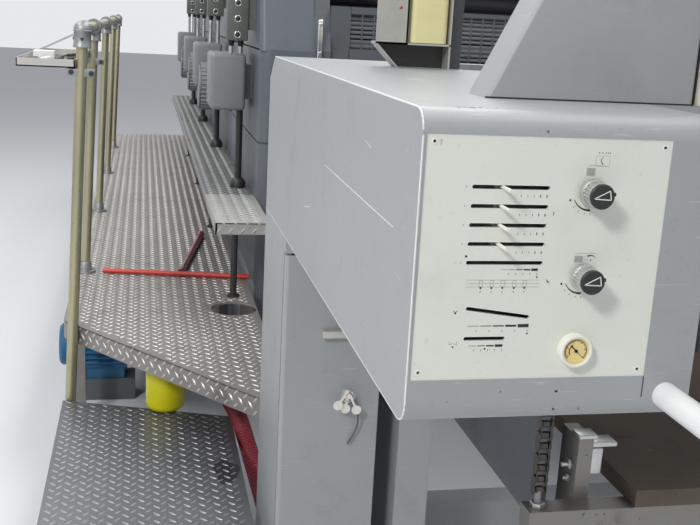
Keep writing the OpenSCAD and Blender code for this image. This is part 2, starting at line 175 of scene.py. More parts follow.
def group_tree(name, inputs, outputs):
    """Empty node group; inputs and outputs are (name, kind, default) rows."""
    tree = bpy.data.node_groups.new(name, "ShaderNodeTree")
    for label, kind, value in inputs:
        item = tree.interface.new_socket(label, in_out="INPUT", socket_type=kind)
        if value is not None:
            item.default_value = value
    for label, kind, _ in outputs:
        tree.interface.new_socket(label, in_out="OUTPUT", socket_type=kind)
    return tree, tree.nodes.new("NodeGroupInput"), tree.nodes.new("NodeGroupOutput")


class Wiring:
    """Short calls that add nodes to one tree and join them."""

    def __init__(self, tree):
        self.tree = tree

    def put(self, value, socket):
        if isinstance(value, bpy.types.NodeSocket):
            self.tree.links.new(value, socket)
        else:
            socket.default_value = value

    def math(self, operation, a, b=0.0, clamp=False):
        node = self.tree.nodes.new("ShaderNodeMath")
        node.operation = operation
        node.use_clamp = clamp
        self.put(a, node.inputs[0])
        self.put(b, node.inputs[1])
        return node.outputs[0]

    def mix(self, factor, a, b, blend="MIX"):
        node = self.tree.nodes.new("ShaderNodeMix")
        node.data_type = "RGBA"
        node.blend_type = blend
        self.put(factor, node.inputs[0])
        self.put(a, node.inputs[6])
        self.put(b, node.inputs[7])
        return node.outputs[2]

    def noise(self, vector, scale, detail=3.0, rough=0.55):
        node = self.tree.nodes.new("ShaderNodeTexNoise")
        self.put(vector, node.inputs["Vector"])
        self.put(scale, node.inputs["Scale"])
        node.inputs["Detail"].default_value = detail
        node.inputs["Roughness"].default_value = rough
        return node.outputs["Fac"]

    def ramp(self, value, low, high):
        node = self.tree.nodes.new("ShaderNodeMapRange")
        node.interpolation_type = "SMOOTHSTEP"
        self.put(value, node.inputs["Value"])
        node.inputs["From Min"].default_value = low
        node.inputs["From Max"].default_value = high
        return node.outputs["Result"]

    def stretch(self, vector, scale):
        node = self.tree.nodes.new("ShaderNodeMapping")
        self.put(vector, node.inputs["Vector"])
        node.inputs["Scale"].default_value = scale
        return node.outputs["Vector"]


def aged_group():
    """Base colour faded by broad noise, darker in dirt patches, lighter in thin scratches."""
    tree, start, end = group_tree(
        "aged_surface",
        [("Vector", "NodeSocketVector", None), ("Colour", "NodeSocketColor", (0.5, 0.5, 0.5, 1)),
         ("Dirt colour", "NodeSocketColor", (0.06, 0.05, 0.04, 1)),
         ("Dirt", "NodeSocketFloat", 0.3),
         ("Fade", "NodeSocketFloat", 0.2), ("Scratches", "NodeSocketFloat", 0.2),
         ("Roughness", "NodeSocketFloat", 0.5)],
        [("Colour", "NodeSocketColor", None), ("Roughness", "NodeSocketFloat", None),
         ("Height", "NodeSocketFloat", None)])
    w = Wiring(tree)
    vector = start.outputs["Vector"]
    broad = w.noise(vector, 2.3, 4.0)
    patch = w.ramp(w.noise(vector, 9.0, 6.0, 0.65), 0.52, 0.78)
    speck = w.ramp(w.noise(vector, 130.0, 2.0), 0.66, 0.74)
    line = w.noise(w.stretch(vector, (14.0, 14.0, 420.0)), 1.0, 2.0)
    thin = w.ramp(line, 0.70, 0.73)
    fade = w.math("MULTIPLY", w.math("SUBTRACT", broad, 0.5), start.outputs["Fade"])
    bright = w.math("ADD", 1.0, fade)
    shade = tree.nodes.new("ShaderNodeVectorMath")
    shade.operation = "SCALE"
    w.put(start.outputs["Colour"], shade.inputs[0])
    w.put(bright, shade.inputs["Scale"])
    dirt = w.math("MULTIPLY", w.math("MAXIMUM", patch, speck), start.outputs["Dirt"], clamp=True)
    mixed = w.mix(dirt, shade.outputs[0], start.outputs["Dirt colour"])
    lit = w.math("MULTIPLY", thin, start.outputs["Scratches"], clamp=True)
    mixed = w.mix(lit, mixed, (0.75, 0.76, 0.76, 1))
    w.put(mixed, end.inputs["Colour"])
    rough = w.math("ADD", start.outputs["Roughness"], w.math("MULTIPLY", dirt, 0.25), clamp=True)
    w.put(w.math("ADD", rough, w.math("MULTIPLY", fade, 0.4), clamp=True), end.inputs["Roughness"])
    fine = w.noise(vector, 260.0, 2.0)
    w.put(w.math("SUBTRACT", fine, w.math("MULTIPLY", dirt, 0.4)), end.inputs["Height"])
    return tree


AGED = aged_group()
print("group", AGED.name)

# %% [markdown]
# One function turns a few numbers into a finish. Metals keep their metallic value on the shader's
# own socket, and the bump takes the group's height at a real depth of a fraction of a millimetre.
# %% Materials by name


def finish(name, colour, rough=0.5, metal=0.0, dirt=0.25, fade=0.2, scratches=0.1, bump=0.25,
           dirt_colour=(0.055, 0.045, 0.035), coat=0.0, specular=0.5):
    """Principled material whose colour, roughness and bump come from the aged surface group."""
    mat = bpy.data.materials.new(name)
    mat.use_nodes = True
    tree = mat.node_tree
    shader = tree.nodes["Principled BSDF"]
    place = tree.nodes.new("ShaderNodeTexCoord")
    aged = tree.nodes.new("ShaderNodeGroup")
    aged.node_tree = AGED
    bump_node = tree.nodes.new("ShaderNodeBump")
    tree.links.new(place.outputs["Object"], aged.inputs["Vector"])
    aged.inputs["Colour"].default_value = (*colour, 1)
    aged.inputs["Dirt colour"].default_value = (*dirt_colour, 1)
    aged.inputs["Dirt"].default_value = dirt
    aged.inputs["Fade"].default_value = fade
    aged.inputs["Scratches"].default_value = scratches
    aged.inputs["Roughness"].default_value = rough
    shader.inputs["Metallic"].default_value = metal
    shader.inputs["Coat Weight"].default_value = coat
    shader.inputs["Specular IOR Level"].default_value = specular
    bump_node.inputs["Strength"].default_value = bump
    bump_node.inputs["Distance"].default_value = 0.0004
    tree.links.new(aged.outputs["Colour"], shader.inputs["Base Color"])
    tree.links.new(aged.outputs["Roughness"], shader.inputs["Roughness"])
    tree.links.new(aged.outputs["Height"], bump_node.inputs["Height"])
    tree.links.new(bump_node.outputs["Normal"], shader.inputs["Normal"])
    return mat


MATS = {
    "cover": finish("cover", (0.115, 0.132, 0.152), 0.42, dirt=0.2, scratches=0.05),
    "casting": finish("casting", (0.10, 0.112, 0.125), 0.55, dirt=0.4, fade=0.35),
    "roller": finish("roller", (0.62, 0.63, 0.64), 0.22, metal=1.0, dirt=0.1),
    "ink_roller": finish("ink_roller", (0.035, 0.035, 0.04), 0.55, dirt=0.2),
    "console": finish("console", (0.34, 0.357, 0.362), 0.40, dirt=0.12, fade=0.12, scratches=0.25),
    "hood": finish("hood", (0.33, 0.335, 0.335), 0.45, dirt=0.12, fade=0.15, scratches=0.1),
    "panel": finish("panel", (0.72, 0.74, 0.66), 0.45, dirt=0.08, fade=0.08, scratches=0.1),
    "knob": finish("knob", (0.02, 0.02, 0.02), 0.45, dirt=0.05),
    "lever": finish("lever", (0.78, 0.76, 0.68), 0.4, dirt=0.1),
    "gauge": finish("gauge", (0.80, 0.79, 0.70), 0.35, dirt=0.1),
    "motor": finish("motor", (0.22, 0.235, 0.245), 0.42, dirt=0.2, fade=0.2),
    "button_box": finish("button_box", (0.12, 0.135, 0.12), 0.5, dirt=0.3),
    "steel": finish("steel", (0.28, 0.27, 0.25), 0.45, metal=0.8, dirt=0.6, fade=0.5),
    "zinc": finish("zinc", (0.55, 0.54, 0.50), 0.4, metal=0.5, dirt=0.2),
    "white_tube": finish("white_tube", (0.82, 0.82, 0.82), 0.3, dirt=0.12, coat=0.3),
    "chain": finish("chain", (0.10, 0.095, 0.085), 0.4, metal=0.9, dirt=0.5),
    "board": finish("board", (0.13, 0.10, 0.075), 0.75, dirt=0.5, fade=0.4),
    "tread": finish("tread", (0.27, 0.255, 0.24), 0.42, metal=0.4, dirt=0.45, fade=0.5),
    # Lighter copy of the tread steel: a painted highlight on the platforms' raised lozenges.
    "tread_painted_highlight": finish("tread_painted_highlight", (0.60, 0.575, 0.545), 0.32, metal=0.55, dirt=0.2, fade=0.4),
    # Lighter copy of the board steel: a painted highlight on the step boards' lozenges and the front
    # board.
    "board_painted_highlight": finish("board_painted_highlight", (0.42, 0.42, 0.39), 0.42, metal=0.3, dirt=0.3, fade=0.3),
    # Lighter copy of the dark tread steel: a painted highlight on the lower steps' lozenges.
    "lower_tread_painted_highlight": finish("lower_tread_painted_highlight", (0.36, 0.37, 0.385), 0.35, metal=0.5, dirt=0.3, fade=0.4),
    "rust": finish("rust", (0.17, 0.085, 0.05), 0.8, dirt=0.5, fade=0.5),
    "oil": finish("oil", (0.05, 0.05, 0.052), 0.18, dirt=0.3, fade=0.3, coat=0.4),
    "teal": finish("teal", (0.05, 0.19, 0.20), 0.5, dirt=0.4),
    "dark_tread": finish("dark_tread", (0.15, 0.155, 0.165), 0.4, metal=0.3, dirt=0.5, fade=0.4),
    "rail": finish("rail", (0.44, 0.41, 0.27), 0.33, metal=0.75, dirt=0.3, fade=0.4),
    "pump": finish("pump", (0.02, 0.13, 0.27), 0.45, dirt=0.3),
    "bowl": finish("bowl", (0.86, 0.80, 0.01), 0.35, dirt=0.12),
    "hose": finish("hose", (0.35, 0.045, 0.065), 0.4, dirt=0.2),
    "cream": finish("cream", (0.76, 0.72, 0.58), 0.45, dirt=0.12),
    "container": finish("container", (0.80, 0.74, 0.40), 0.3, dirt=0.08, fade=0.12, coat=0.2),
    "print_black": finish("print_black", (0.012, 0.012, 0.013), 0.5, dirt=0.0, fade=0.1),
    "print_grey": finish("print_grey", (0.34, 0.35, 0.33), 0.5, dirt=0.0, fade=0.1),
    "print_white": finish("print_white", (0.80, 0.80, 0.78), 0.45, dirt=0.05, fade=0.05),
    "print_red": finish("print_red", (0.42, 0.05, 0.03), 0.5, dirt=0.05, fade=0.1),
    # Pale bare metal for slot rims, screw rims, scratches and chips; along the console's side plate edge
    # it is a painted highlight.
    "bare_metal_and_highlight": finish("bare_metal_and_highlight", (0.82, 0.82, 0.79), 0.35, dirt=0.15, fade=0.1),
    "knob_metal": finish("knob_metal", (0.62, 0.62, 0.60), 0.28, metal=0.9, dirt=0.15, fade=0.1),
    "fitting": finish("fitting", (0.30, 0.31, 0.31), 0.42, metal=0.55, dirt=0.35, fade=0.3),
    "dark_steel": finish("dark_steel", (0.07, 0.07, 0.072), 0.38, metal=0.8, dirt=0.3, fade=0.3),
    "chrome": finish("chrome", (0.72, 0.72, 0.72), 0.16, metal=1.0, dirt=0.1, fade=0.05),
    "label_plate": finish("label_plate", (0.55, 0.56, 0.50), 0.45, dirt=0.25),
    "key_brass": finish("key_brass", (0.80, 0.78, 0.70), 0.35, metal=0.3, dirt=0.2),
    "red_paint": finish("red_paint", (0.62, 0.045, 0.035), 0.35, dirt=0.2, fade=0.25, coat=0.3),
    # Darker copy of the red paint: painted shade on the red bar's arm.
    "red_painted_shade": finish("red_painted_shade", (0.20, 0.022, 0.025), 0.4, dirt=0.3, fade=0.4, coat=0.2),
    "dial": finish("dial", (0.80, 0.66, 0.28), 0.4, dirt=0.25, fade=0.3,
                   dirt_colour=(0.35, 0.10, 0.05)),
}
for row in frame["record"]["subparts"]:
    data = nodes[row["node"]].data
    data.materials.clear()
    data.materials.append(MATS[row["material_slot"]])
print("materials", len(MATS))

# %% [markdown]
# The floor is a plain pale plane. It isn't part of the press.
# %% Floor


def floor_plane(half=30.0):
    """Square of four corners at z = 0."""
    mesh = bpy.data.meshes.new("floor")
    corners = [(-half, -half, 0), (half, -half, 0), (half, half, 0), (-half, half, 0)]
    mesh.from_pydata(corners, [], [(0, 1, 2, 3)])
    obj = bpy.data.objects.new("floor", mesh)
    scene.collection.objects.link(obj)
    mat = bpy.data.materials.new("floor")
    mat.use_nodes = True
    shader = mat.node_tree.nodes["Principled BSDF"]
    shader.inputs["Base Color"].default_value = (*BACKDROP, 1)
    shader.inputs["Roughness"].default_value = 0.9
    mesh.materials.append(mat)
    return obj


floor_plane()

# %% [markdown]
# Every added piece is a surface worked out as arrays. A few helpers make the shapes: a grid of
# points closed into quads, a turned profile, a tube carried along a path, a flat print with a little
# thickness, and a small solid repeated at many places. One more helper puts them into the scene.
# %% Mesh helpers
import bmesh

MM = 0.001
PRESS = "press"


def grid(points, close_u=False, close_v=True):
    """points[i, j] joined into quads; a closed direction wraps round."""
    a, b = points.shape[:2]
    i, j = np.meshgrid(np.arange(a - (not close_u)), np.arange(b - (not close_v)), indexing="ij")
    near, far = i % a * b, (i + 1) % a * b
    left, right = j % b, (j + 1) % b
    quads = np.stack([near + left, far + left, far + right, near + right], -1)
    return points.reshape(-1, 3), quads.reshape(-1, 4).tolist()


def join(*parts):
    """Several (vertices, faces) in one, with the indices moved on."""
    verts, faces, start = [], [], 0
    for v, f in parts:
        verts.append(np.asarray(v, float))
        faces += [[k + start for k in face] for face in f]
        start += len(v)
    return np.concatenate(verts), faces


def lathe(profile, centre, along=(0, 0, 1), sides=48):
    """Profile rows (radius, height) turned round the axis: centre + h axis + r (side cos + up sin)."""
    axis = unit(along)
    side = unit(np.cross(axis, (0.13, 0.31, 0.94) if abs(axis[2]) < 0.9 else (1, 0, 0)))
    up = np.cross(axis, side)
    turn = np.linspace(0, 2 * np.pi, sides, endpoint=False)
    ring = np.cos(turn)[:, None] * side + np.sin(turn)[:, None] * up
    r, h = np.asarray(profile, float).T
    points = np.asarray(centre) + h[:, None, None] * axis + r[:, None, None] * ring
    return grid(points, close_u=bool(r[0] > 0 and r[-1] > 0))


def smooth_path(points, count):
    """Catmull-Rom curve through the points, spaced evenly by arc length."""
    p = np.asarray(points, float)
    p = np.concatenate([[2 * p[0] - p[1]], p, [2 * p[-1] - p[-2]]])
    t = np.linspace(0, 1, 24, endpoint=False)[:, None]
    q = [0.5 * (2 * b + (c - a) * t + (2 * a - 5 * b + 4 * c - d) * t**2 + (3 * b - a - 3 * c + d) * t**3)
         for a, b, c, d in zip(p[:-3], p[1:-2], p[2:-1], p[3:])]
    q = np.concatenate(q + [p[-2][None]])
    far = np.concatenate([[0], np.cumsum(np.linalg.norm(np.diff(q, axis=0), axis=1))])
    at = np.linspace(0, far[-1], count)
    return np.stack([np.interp(at, far, q[:, k]) for k in range(3)], 1)


def tube(path, radius, sides=16):
    """Circle of the given radius (one value or one per point) carried along a path, ends closed."""
    path = np.asarray(path, float)
    radius = np.broadcast_to(radius, len(path)).copy()
    tangent = np.gradient(path, axis=0)
    tangent /= np.linalg.norm(tangent, axis=1)[:, None]
    side = np.cross(tangent, (0.02, 0.03, 1.0))
    side /= np.linalg.norm(side, axis=1)[:, None]
    up = np.cross(side, tangent)
    turn = np.linspace(0, 2 * np.pi, sides, endpoint=False)
    rings = (path[:, None] + radius[:, None, None]
             * (np.cos(turn)[:, None] * side[:, None] + np.sin(turn)[:, None] * up[:, None]))
    rings = np.concatenate([np.repeat(path[:1, None], sides, 1), rings,
                            np.repeat(path[-1:, None], sides, 1)])
    return grid(rings)


def rod(a, b, radius, sides=16, bevel=0.0015):
    """Straight round bar from a to b with bevelled ends."""
    a, b = np.asarray(a, float), np.asarray(b, float)
    length = np.linalg.norm(b - a)
    return lathe([(0, 0), (radius - bevel, 0), (radius, bevel), (radius, length - bevel),
                  (radius - bevel, length), (0, length)], a, b - a, sides)


def soft_box(low, high, r=0.003, steps=3):
    """Box with rounded edges: corner centre plus r times the normal of a sphere grid."""
    low, high = np.asarray(low, float), np.asarray(high, float)
    mid, half = (low + high) / 2, (high - low) / 2 - r
    lat = np.concatenate([np.linspace(-90, 0, steps + 1), np.linspace(0, 90, steps + 1)])
    lat_sign = np.repeat([-1.0, 1.0], steps + 1)
    lon = np.concatenate([np.linspace(q, q + 90, steps + 1) for q in (0, 90, 180, 270)])
    lon_q = np.repeat([45, 135, 225, 315], steps + 1)
    la, lo = np.radians(lat)[:, None], np.radians(lon)[None]
    quad = np.radians(lon_q)[None]
    x = np.sign(np.cos(quad)) * half[0] + r * np.cos(la) * np.cos(lo)
    y = np.sign(np.sin(quad)) * half[1] + r * np.cos(la) * np.sin(lo)
    z = lat_sign[:, None] * half[2] + r * np.sin(la) + 0 * lo
    verts, faces = grid(mid + np.stack([x, y, z], -1))
    n = len(lon)
    faces += [list(range(n)), list(range(len(verts) - n, len(verts)))]
    return verts, faces


def prisms(outlines, place):
    """Flat outlines (n x 2) given thickness; place turns (u, v, height 0 or 1) arrays into points."""
    parts = []
    for line in outlines:
        line = np.asarray(line, float)
        n = len(line)
        both = np.concatenate([np.c_[line, np.zeros(n)], np.c_[line, np.ones(n)]])
        faces = [list(range(n)), list(range(n, 2 * n))]
        faces += [[k, (k + 1) % n, (k + 1) % n + n, k + n] for k in range(n)]
        parts.append((place(both), faces))
    return join(*parts)


def repeat(verts, faces, places, turns):
    """One small solid at every place, each turned by its own 3 x 3 matrix."""
    verts = np.asarray(verts, float)
    moved = np.einsum("nij,vj->nvi", turns, verts) + np.asarray(places)[:, None]
    start = np.arange(len(moved)) * len(verts)
    out = []
    for size in sorted({len(f) for f in faces}):
        some = np.array([f for f in faces if len(f) == size])
        out += (some[None] + start[:, None, None]).reshape(-1, size).tolist()
    return moved.reshape(-1, 3), out


def add(name, shape, mat, body=PRESS, slot=None, crease=38):
    """Mesh object from (vertices, faces): doubles merged, faces outward, riding on its body."""
    verts, faces = shape
    mesh = bpy.data.meshes.new(name)
    mesh.from_pydata(np.asarray(verts).tolist(), [], faces)
    bm = bmesh.new()
    bm.from_mesh(mesh)
    bmesh.ops.remove_doubles(bm, verts=bm.verts, dist=2e-6)
    bmesh.ops.dissolve_degenerate(bm, edges=bm.edges, dist=1e-6)
    bmesh.ops.recalc_face_normals(bm, faces=bm.faces)
    bm.to_mesh(mesh)
    bm.free()
    mesh.polygons.foreach_set("use_smooth", np.ones(len(mesh.polygons), bool))
    mesh.set_sharp_from_angle(angle=math.radians(crease))
    mesh.materials.append(MATS[mat])
    obj = bpy.data.objects.new(name, mesh)
    scene.collection.objects.link(obj)
    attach(obj, body)
    slot or mat
    return obj


def turn_z(angles):
    """Matrices that turn about Z by the angles, in radians."""
    c, s = np.cos(angles), np.sin(angles)
    out = np.zeros((len(c), 3, 3))
    out[:, 0, 0], out[:, 0, 1], out[:, 1, 0], out[:, 1, 1], out[:, 2, 2] = c, -s, s, c, 1
    return out


print("helpers ready")

# %% [markdown]
# The frame's boxes and plates are plain where the press has folds, round corners and openings. Each
# piece of this cell takes a node's place or stands beside one. An outline pushed along an axis
# gives most of them, and a bevel rounds the edges that a press brake would round.
# %% Finer forms in place of plain nodes


def prism(outline, axis, low, high):
    """Outline (n x 2, metres) pushed along an axis; its columns fill the other two axes in order."""
    def place(rows):
        columns = [rows[:, 0], rows[:, 1]]
        columns.insert(axis, low + (high - low) * rows[:, 2])
        return np.stack(columns, 1)
    return prisms([outline], place)


def block(x0, x1, y0, y1, z0, z1):
    """Prism with a rectangle as its outline."""
    return prism([(x0, y0), (x1, y0), (x1, y1), (x0, y1)], 2, z0, z1)


def rounded(shape, r, pick, steps=4):
    """Shape with the edges that pick(middle, direction) chooses rounded to radius r."""
    bm = bmesh.new()
    points = [bm.verts.new(v) for v in shape[0]]
    for face in shape[1]:
        bm.faces.new([points[k] for k in face])
    bmesh.ops.recalc_face_normals(bm, faces=bm.faces)
    chosen = []
    for edge in bm.edges:
        a, b = (np.array(v.co) for v in edge.verts)
        if pick((a + b) / 2, unit(b - a)):
            chosen.append(edge)
    bmesh.ops.bevel(bm, geom=chosen, offset=r, segments=steps, profile=0.5, affect="EDGES")
    bm.verts.index_update()
    out = np.array([v.co[:] for v in bm.verts]), [[v.index for v in f.verts] for f in bm.faces]
    bm.free()
    return out


def both(shape):
    """Shape together with its mirror image in X."""
    return join(shape, (shape[0] * (-1, 1, 1), shape[1]))


def stand_in(node, name, shape, mat, slot=None, crease=38):
    """Add a piece and let it take the node's place."""
    obj = add(name, shape, mat, slot=slot, crease=crease)
    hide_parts(node)
    return obj


PITCH = 1.2
UNIT_Y = [-2.385 + PITCH * k for k in range(4)]
LEN = 1.170


def rounded_plan(x0, x1, y0, y1, r, z0, z1):
    """Upright block whose corners at x0 are rounded."""
    return rounded(block(x0, x1, y0, y1, z0, z1), r,
                   lambda m, d: abs(d[2]) > 0.9 and abs(m[0] - x0) < 1e-4, 6)


def cover(y):
    """Side cover of one unit: two stacked round-edged boxes with a sunk seam, and a sloped tower."""
    parts = [rounded_plan(-0.950, -0.760, y, y + LEN, 0.038, 0.060, 1.021),
             rounded_plan(-0.944, -0.760, y + 0.006, y + LEN - 0.006, 0.032, 1.018, 1.030),
             rounded_plan(-0.950, -0.760, y, y + LEN, 0.038, 1.027, 1.357)]
    tower = [(y + 0.004, 1.352), (y + LEN - 0.004, 1.352), (y + 1.035, 1.840), (y + 0.975, 1.960),
             (y + 0.195, 1.960), (y + 0.135, 1.840)]
    parts.append(rounded(prism(tower, 0, -0.950, -0.760), 0.018,
                         lambda m, d: m[0] < -0.949 and m[2] > 1.36))
    return join(*parts)


covers = join(*[cover(y) for y in UNIT_Y])
stand_in("operator_covers", "unit_covers_operator", covers, "cover")
stand_in("drive_covers", "unit_covers_drive", (covers[0] * (-1, 1, 1), covers[1]), "cover")

motors, caps, pipes = [], [], []
for k in range(4):
    y = -2.180 + PITCH * k
    motors += [rounded(block(-1.111, -0.980, y, y + 0.250, 1.120, 1.330), 0.015, lambda m, d: True,
                       4),
               block(-0.981, -0.949, y + 0.06, y + 0.19, 1.16, 1.29)]
    pipes += [rod((-0.996, y + 0.050, 0.8205), (-0.996, y + 0.050, 1.122), 0.013, 20),
              lathe([(0, 0), (0.030, 0), (0.030, 0.020), (0.022, 0.034), (0.013, 0.040),
                     (0, 0.040)], (-0.996, y + 0.050, 0.8203), (0, 0, 1), 24)]
    if k:
        a = np.linspace(0, 2 * np.pi, 128, endpoint=False)
        r = 0.112 + 0.003 * np.sign(np.sin(32 * a + 0.1))
        caps.append(prism(np.c_[y - 0.015 + r * np.cos(a), 1.125 + r * np.sin(a)], 0, -1.085,
                          -1.030))
        caps.append(lathe([(0, 0), (0.104, 0), (0.108, 0.004), (0.108, 0.010), (0, 0.010)],
                          (-1.084, y - 0.015, 1.125), (-1, 0, 0), 64))
stand_in("motor_boxes", "motor_boxes_rounded", join(*motors), "motor", crease=30)
add("motor_caps", join(*caps), "fitting", slot="motor", crease=20)
add("motor_pipes", join(*pipes), "knob", slot="motor")
cases, tubes = [], []
for k in range(4):
    y, z0 = -2.180 + PITCH * k, 1.460 if k else 1.378
    case = block(-1.055, -0.977, y - 0.010, y + 0.050, z0, 1.640)
    cases += [rounded(case, 0.004, lambda m, d: True, 2),
              block(-0.978, -0.949, y, y + 0.040, z0 + 0.04, 1.600)]
    for x in (-1.035, -1.000):
        tubes.append(rod((x, y + 0.038, 1.329), (x, y + 0.038, z0 + 0.001), 0.009, 16))
stand_in("button_boxes", "button_cases", join(*cases), "button_box")
add("button_conduits", join(*tubes), "chrome", slot="button_box")

GUARD_FRAME = [(-0.700, -0.628, 1.335, 1.520), (-0.3235, -0.2175, 1.335, 1.520),
               (0.2175, 0.3235, 1.335, 1.520), (0.628, 0.700, 1.335, 1.520),
               (-0.630, -0.322, 1.335, 1.372), (0.322, 0.630, 1.335, 1.372),
               (-0.630, -0.322, 1.495, 1.520), (0.322, 0.630, 1.495, 1.520),
               (-0.219, 0.219, 1.505, 1.520)]
guards = [block(x0, x1, y + 0.0195, y + 0.040, z0, z1) for y in UNIT_Y
          for x0, x1, z0, z1 in GUARD_FRAME]
add("window_frames", join(*guards), "casting")

HOOD_Y = -4.693
cheek = [(-0.913, 1.3805), (-0.612, 1.3805), (-0.612, 1.801), (-0.709, 1.801)]
cheek = rounded(prism(cheek, 1, HOOD_Y, HOOD_Y + 0.075), 0.006,
                lambda m, d: m[1] < HOOD_Y + 0.001 and m[2] > 1.39, 3)
deck = block(-0.682, 0.682, HOOD_Y, -3.864, 1.341, 1.3805)
stand_in("delivery_hood", "hood_panels", join(both(cheek), deck), "hood", slot="console")
add("hood_guard", block(-0.6105, 0.6105, HOOD_Y + 0.006, HOOD_Y + 0.018, 1.381, 1.801), "cream",
    slot="console")
# Thin black strips at the hood's base and beside its guard: painted shadow lines where the parts meet.
painted_shadow_strips = [block(-0.914, -0.612, HOOD_Y - 0.0004, HOOD_Y + 0.002, 1.3812, 1.3832),
        block(-0.6130, -0.6108, HOOD_Y - 0.0004, HOOD_Y + 0.004, 1.3832, 1.801)]
add("hood_painted_shadow_lines", both(join(*painted_shadow_strips)), "print_black", slot="console")
posts = both(rounded(block(-0.709, -0.684, -3.857, -3.832, 1.380, 1.760), 0.003,
                     lambda m, d: abs(d[2]) > 0.9, 2))
add("guard_frame", join(posts, block(-0.684, 0.684, -3.857, -3.832, 1.735, 1.760)), "casting",
    slot="casting")
BOX_Y0, BOX_Y1 = -3.910, -3.862
case = [block(-0.886, -0.818, BOX_Y0, BOX_Y0 + 0.004, 1.4285, 1.760),
        block(-0.819, -0.725, BOX_Y1 - 0.004, BOX_Y1, 1.4285, 1.760),
        block(-0.8225, -0.8185, BOX_Y0, BOX_Y1, 1.4285, 1.760),
        block(-0.7285, -0.725, BOX_Y0, BOX_Y1, 1.381, 1.760),
        block(-0.886, -0.725, BOX_Y0, BOX_Y1, 1.4285, 1.4325),
        prism([(-0.886, 1.429), (-0.882, 1.429), (-0.835, 1.381), (-0.839, 1.381)], 1, BOX_Y0,
              BOX_Y1)]
stand_in("powder_box", "powder_case", join(*case), "zinc", slot="steel")
add("chute_back", prism([(-0.884, 1.429), (-0.728, 1.429), (-0.728, 1.3815), (-0.837, 1.3815)], 1,
                        BOX_Y1 - 0.004, BOX_Y1 - 0.001), "dark_steel", slot="steel")
can = rounded(block(-0.814, -0.7315, -3.908, -3.867, 1.4335, 1.663), 0.014,
              lambda m, d: abs(d[2]) > 0.9, 6)
add("powder_container", can, "container", slot="steel")

LINK = 19.05 * MM


def chain(x, y, z0, z1):
    """Roller chain hanging along Z: waisted plates by pairs, inner and outer by turns, over rollers."""
    count = int((z1 - z0) / LINK)
    t = np.radians(np.arange(-90, 91, 30))
    half = np.c_[0.0078 * np.cos(t), 0.0078 * np.sin(t)]
    top = np.c_[half[:, 1], LINK / 2 + half[:, 0]][::-1]
    outline = np.concatenate([top, [(-0.0056, 0)], np.c_[-top[:, 0], -top[:, 1]], [(0.0056, 0)]])
    parts = []
    for k in range(count):
        z = z0 + (k + 0.5) * LINK
        for side in (-1, 1):
            at = x + side * (0.0083 if k % 2 else 0.0106)
            parts.append(prism(outline + (y, z), 0, at - 0.0009, at + 0.0009))
        parts.append(rod((x - 0.0113, y, z0 + k * LINK), (x + 0.0113, y, z0 + k * LINK), 0.0028, 8,
                         0.0005))
        parts.append(rod((x - 0.0060, y, z0 + k * LINK), (x + 0.0060, y, z0 + k * LINK), 0.0060, 10,
                         0.0005))
    return join(*parts)


links = join(chain(-0.724, -4.570, 0.747, 1.530), chain(-0.724, -3.940, 0.747, 1.375))
stand_in("hoist_chains", "roller_chains", both(links), "chain")

P_OUT, P_IN, P_TOP, CONSOLE_X = -1.605, -0.970, 0.490, -1.052
P_BACK, P_NEAR, P_FRONT = 2.290, -3.502, -2.792
slant = unit((P_OUT - CONSOLE_X, P_FRONT - P_NEAR))
turn_a = np.linspace(0, 1, 6)[:, None]
corner = np.array([P_OUT, P_FRONT])
bend_in, bend_out = corner - slant * 0.022, corner + (0, 0.022)
bend = (1 - turn_a) ** 2 * bend_in + 2 * turn_a * (1 - turn_a) * corner + turn_a ** 2 * bend_out
arc_t = np.linspace(0.5 * np.pi, 1.5 * np.pi, 25)[:, None]
HOLE = np.array([-1.050, -2.677])
notch = HOLE + 0.078 * np.concatenate([np.cos(arc_t), np.sin(arc_t)], 1)
outer = np.concatenate([[(HOLE[0], P_NEAR), (CONSOLE_X, P_NEAR)], bend,
                        [(P_OUT, P_BACK), (HOLE[0], P_BACK)], notch])
notch_r = HOLE + 0.078 * np.concatenate([-np.cos(arc_t), np.sin(arc_t)], 1)
inner = np.concatenate([[(HOLE[0], P_NEAR), (P_IN, P_NEAR), (P_IN, P_BACK), (HOLE[0], P_BACK)],
                        notch_r])
rim = np.concatenate([[(CONSOLE_X, P_NEAR)], bend, [(P_OUT, P_BACK)]])
side = np.gradient(rim, axis=0)
side = np.stack([side[:, 1], -side[:, 0]], 1) / np.linalg.norm(side, axis=1)[:, None]
flange = np.concatenate([rim, (rim + side * 0.006)[::-1]])
plates = [prism(outer, 2, P_TOP - 0.006, P_TOP), prism(inner, 2, P_TOP - 0.006, P_TOP),
          prism(flange, 2, P_TOP - 0.060, P_TOP - 0.0005)]
for y in (-2.450, -1.490, -0.290, 0.910, 2.250):
    for x in (P_OUT + 0.007, P_IN - 0.040):
        plates.append(block(x, x + 0.040, y - 0.020, y + 0.020, 0, P_TOP - 0.005))
stand_in("platforms", "platform_plates", both(join(*plates)), "tread")

S_OUT, S_IN, S_TOP, S_Y0, S_Y1 = -1.128, -0.950, 0.820, -2.810, 2.200
SEAMS = [S_Y0, -2.294, -0.718, 0.358, S_Y1]


def step_plate(y0, y1):
    """One folded board: its plate and outer flange."""
    return [rounded(block(S_OUT, S_IN, y0, y1, S_TOP - 0.006, S_TOP), 0.0025,
                    lambda m, d: m[2] > S_TOP - 0.001, 2),
            block(S_OUT, S_OUT + 0.006, y0, y1, S_TOP - 0.040, S_TOP - 0.003)]


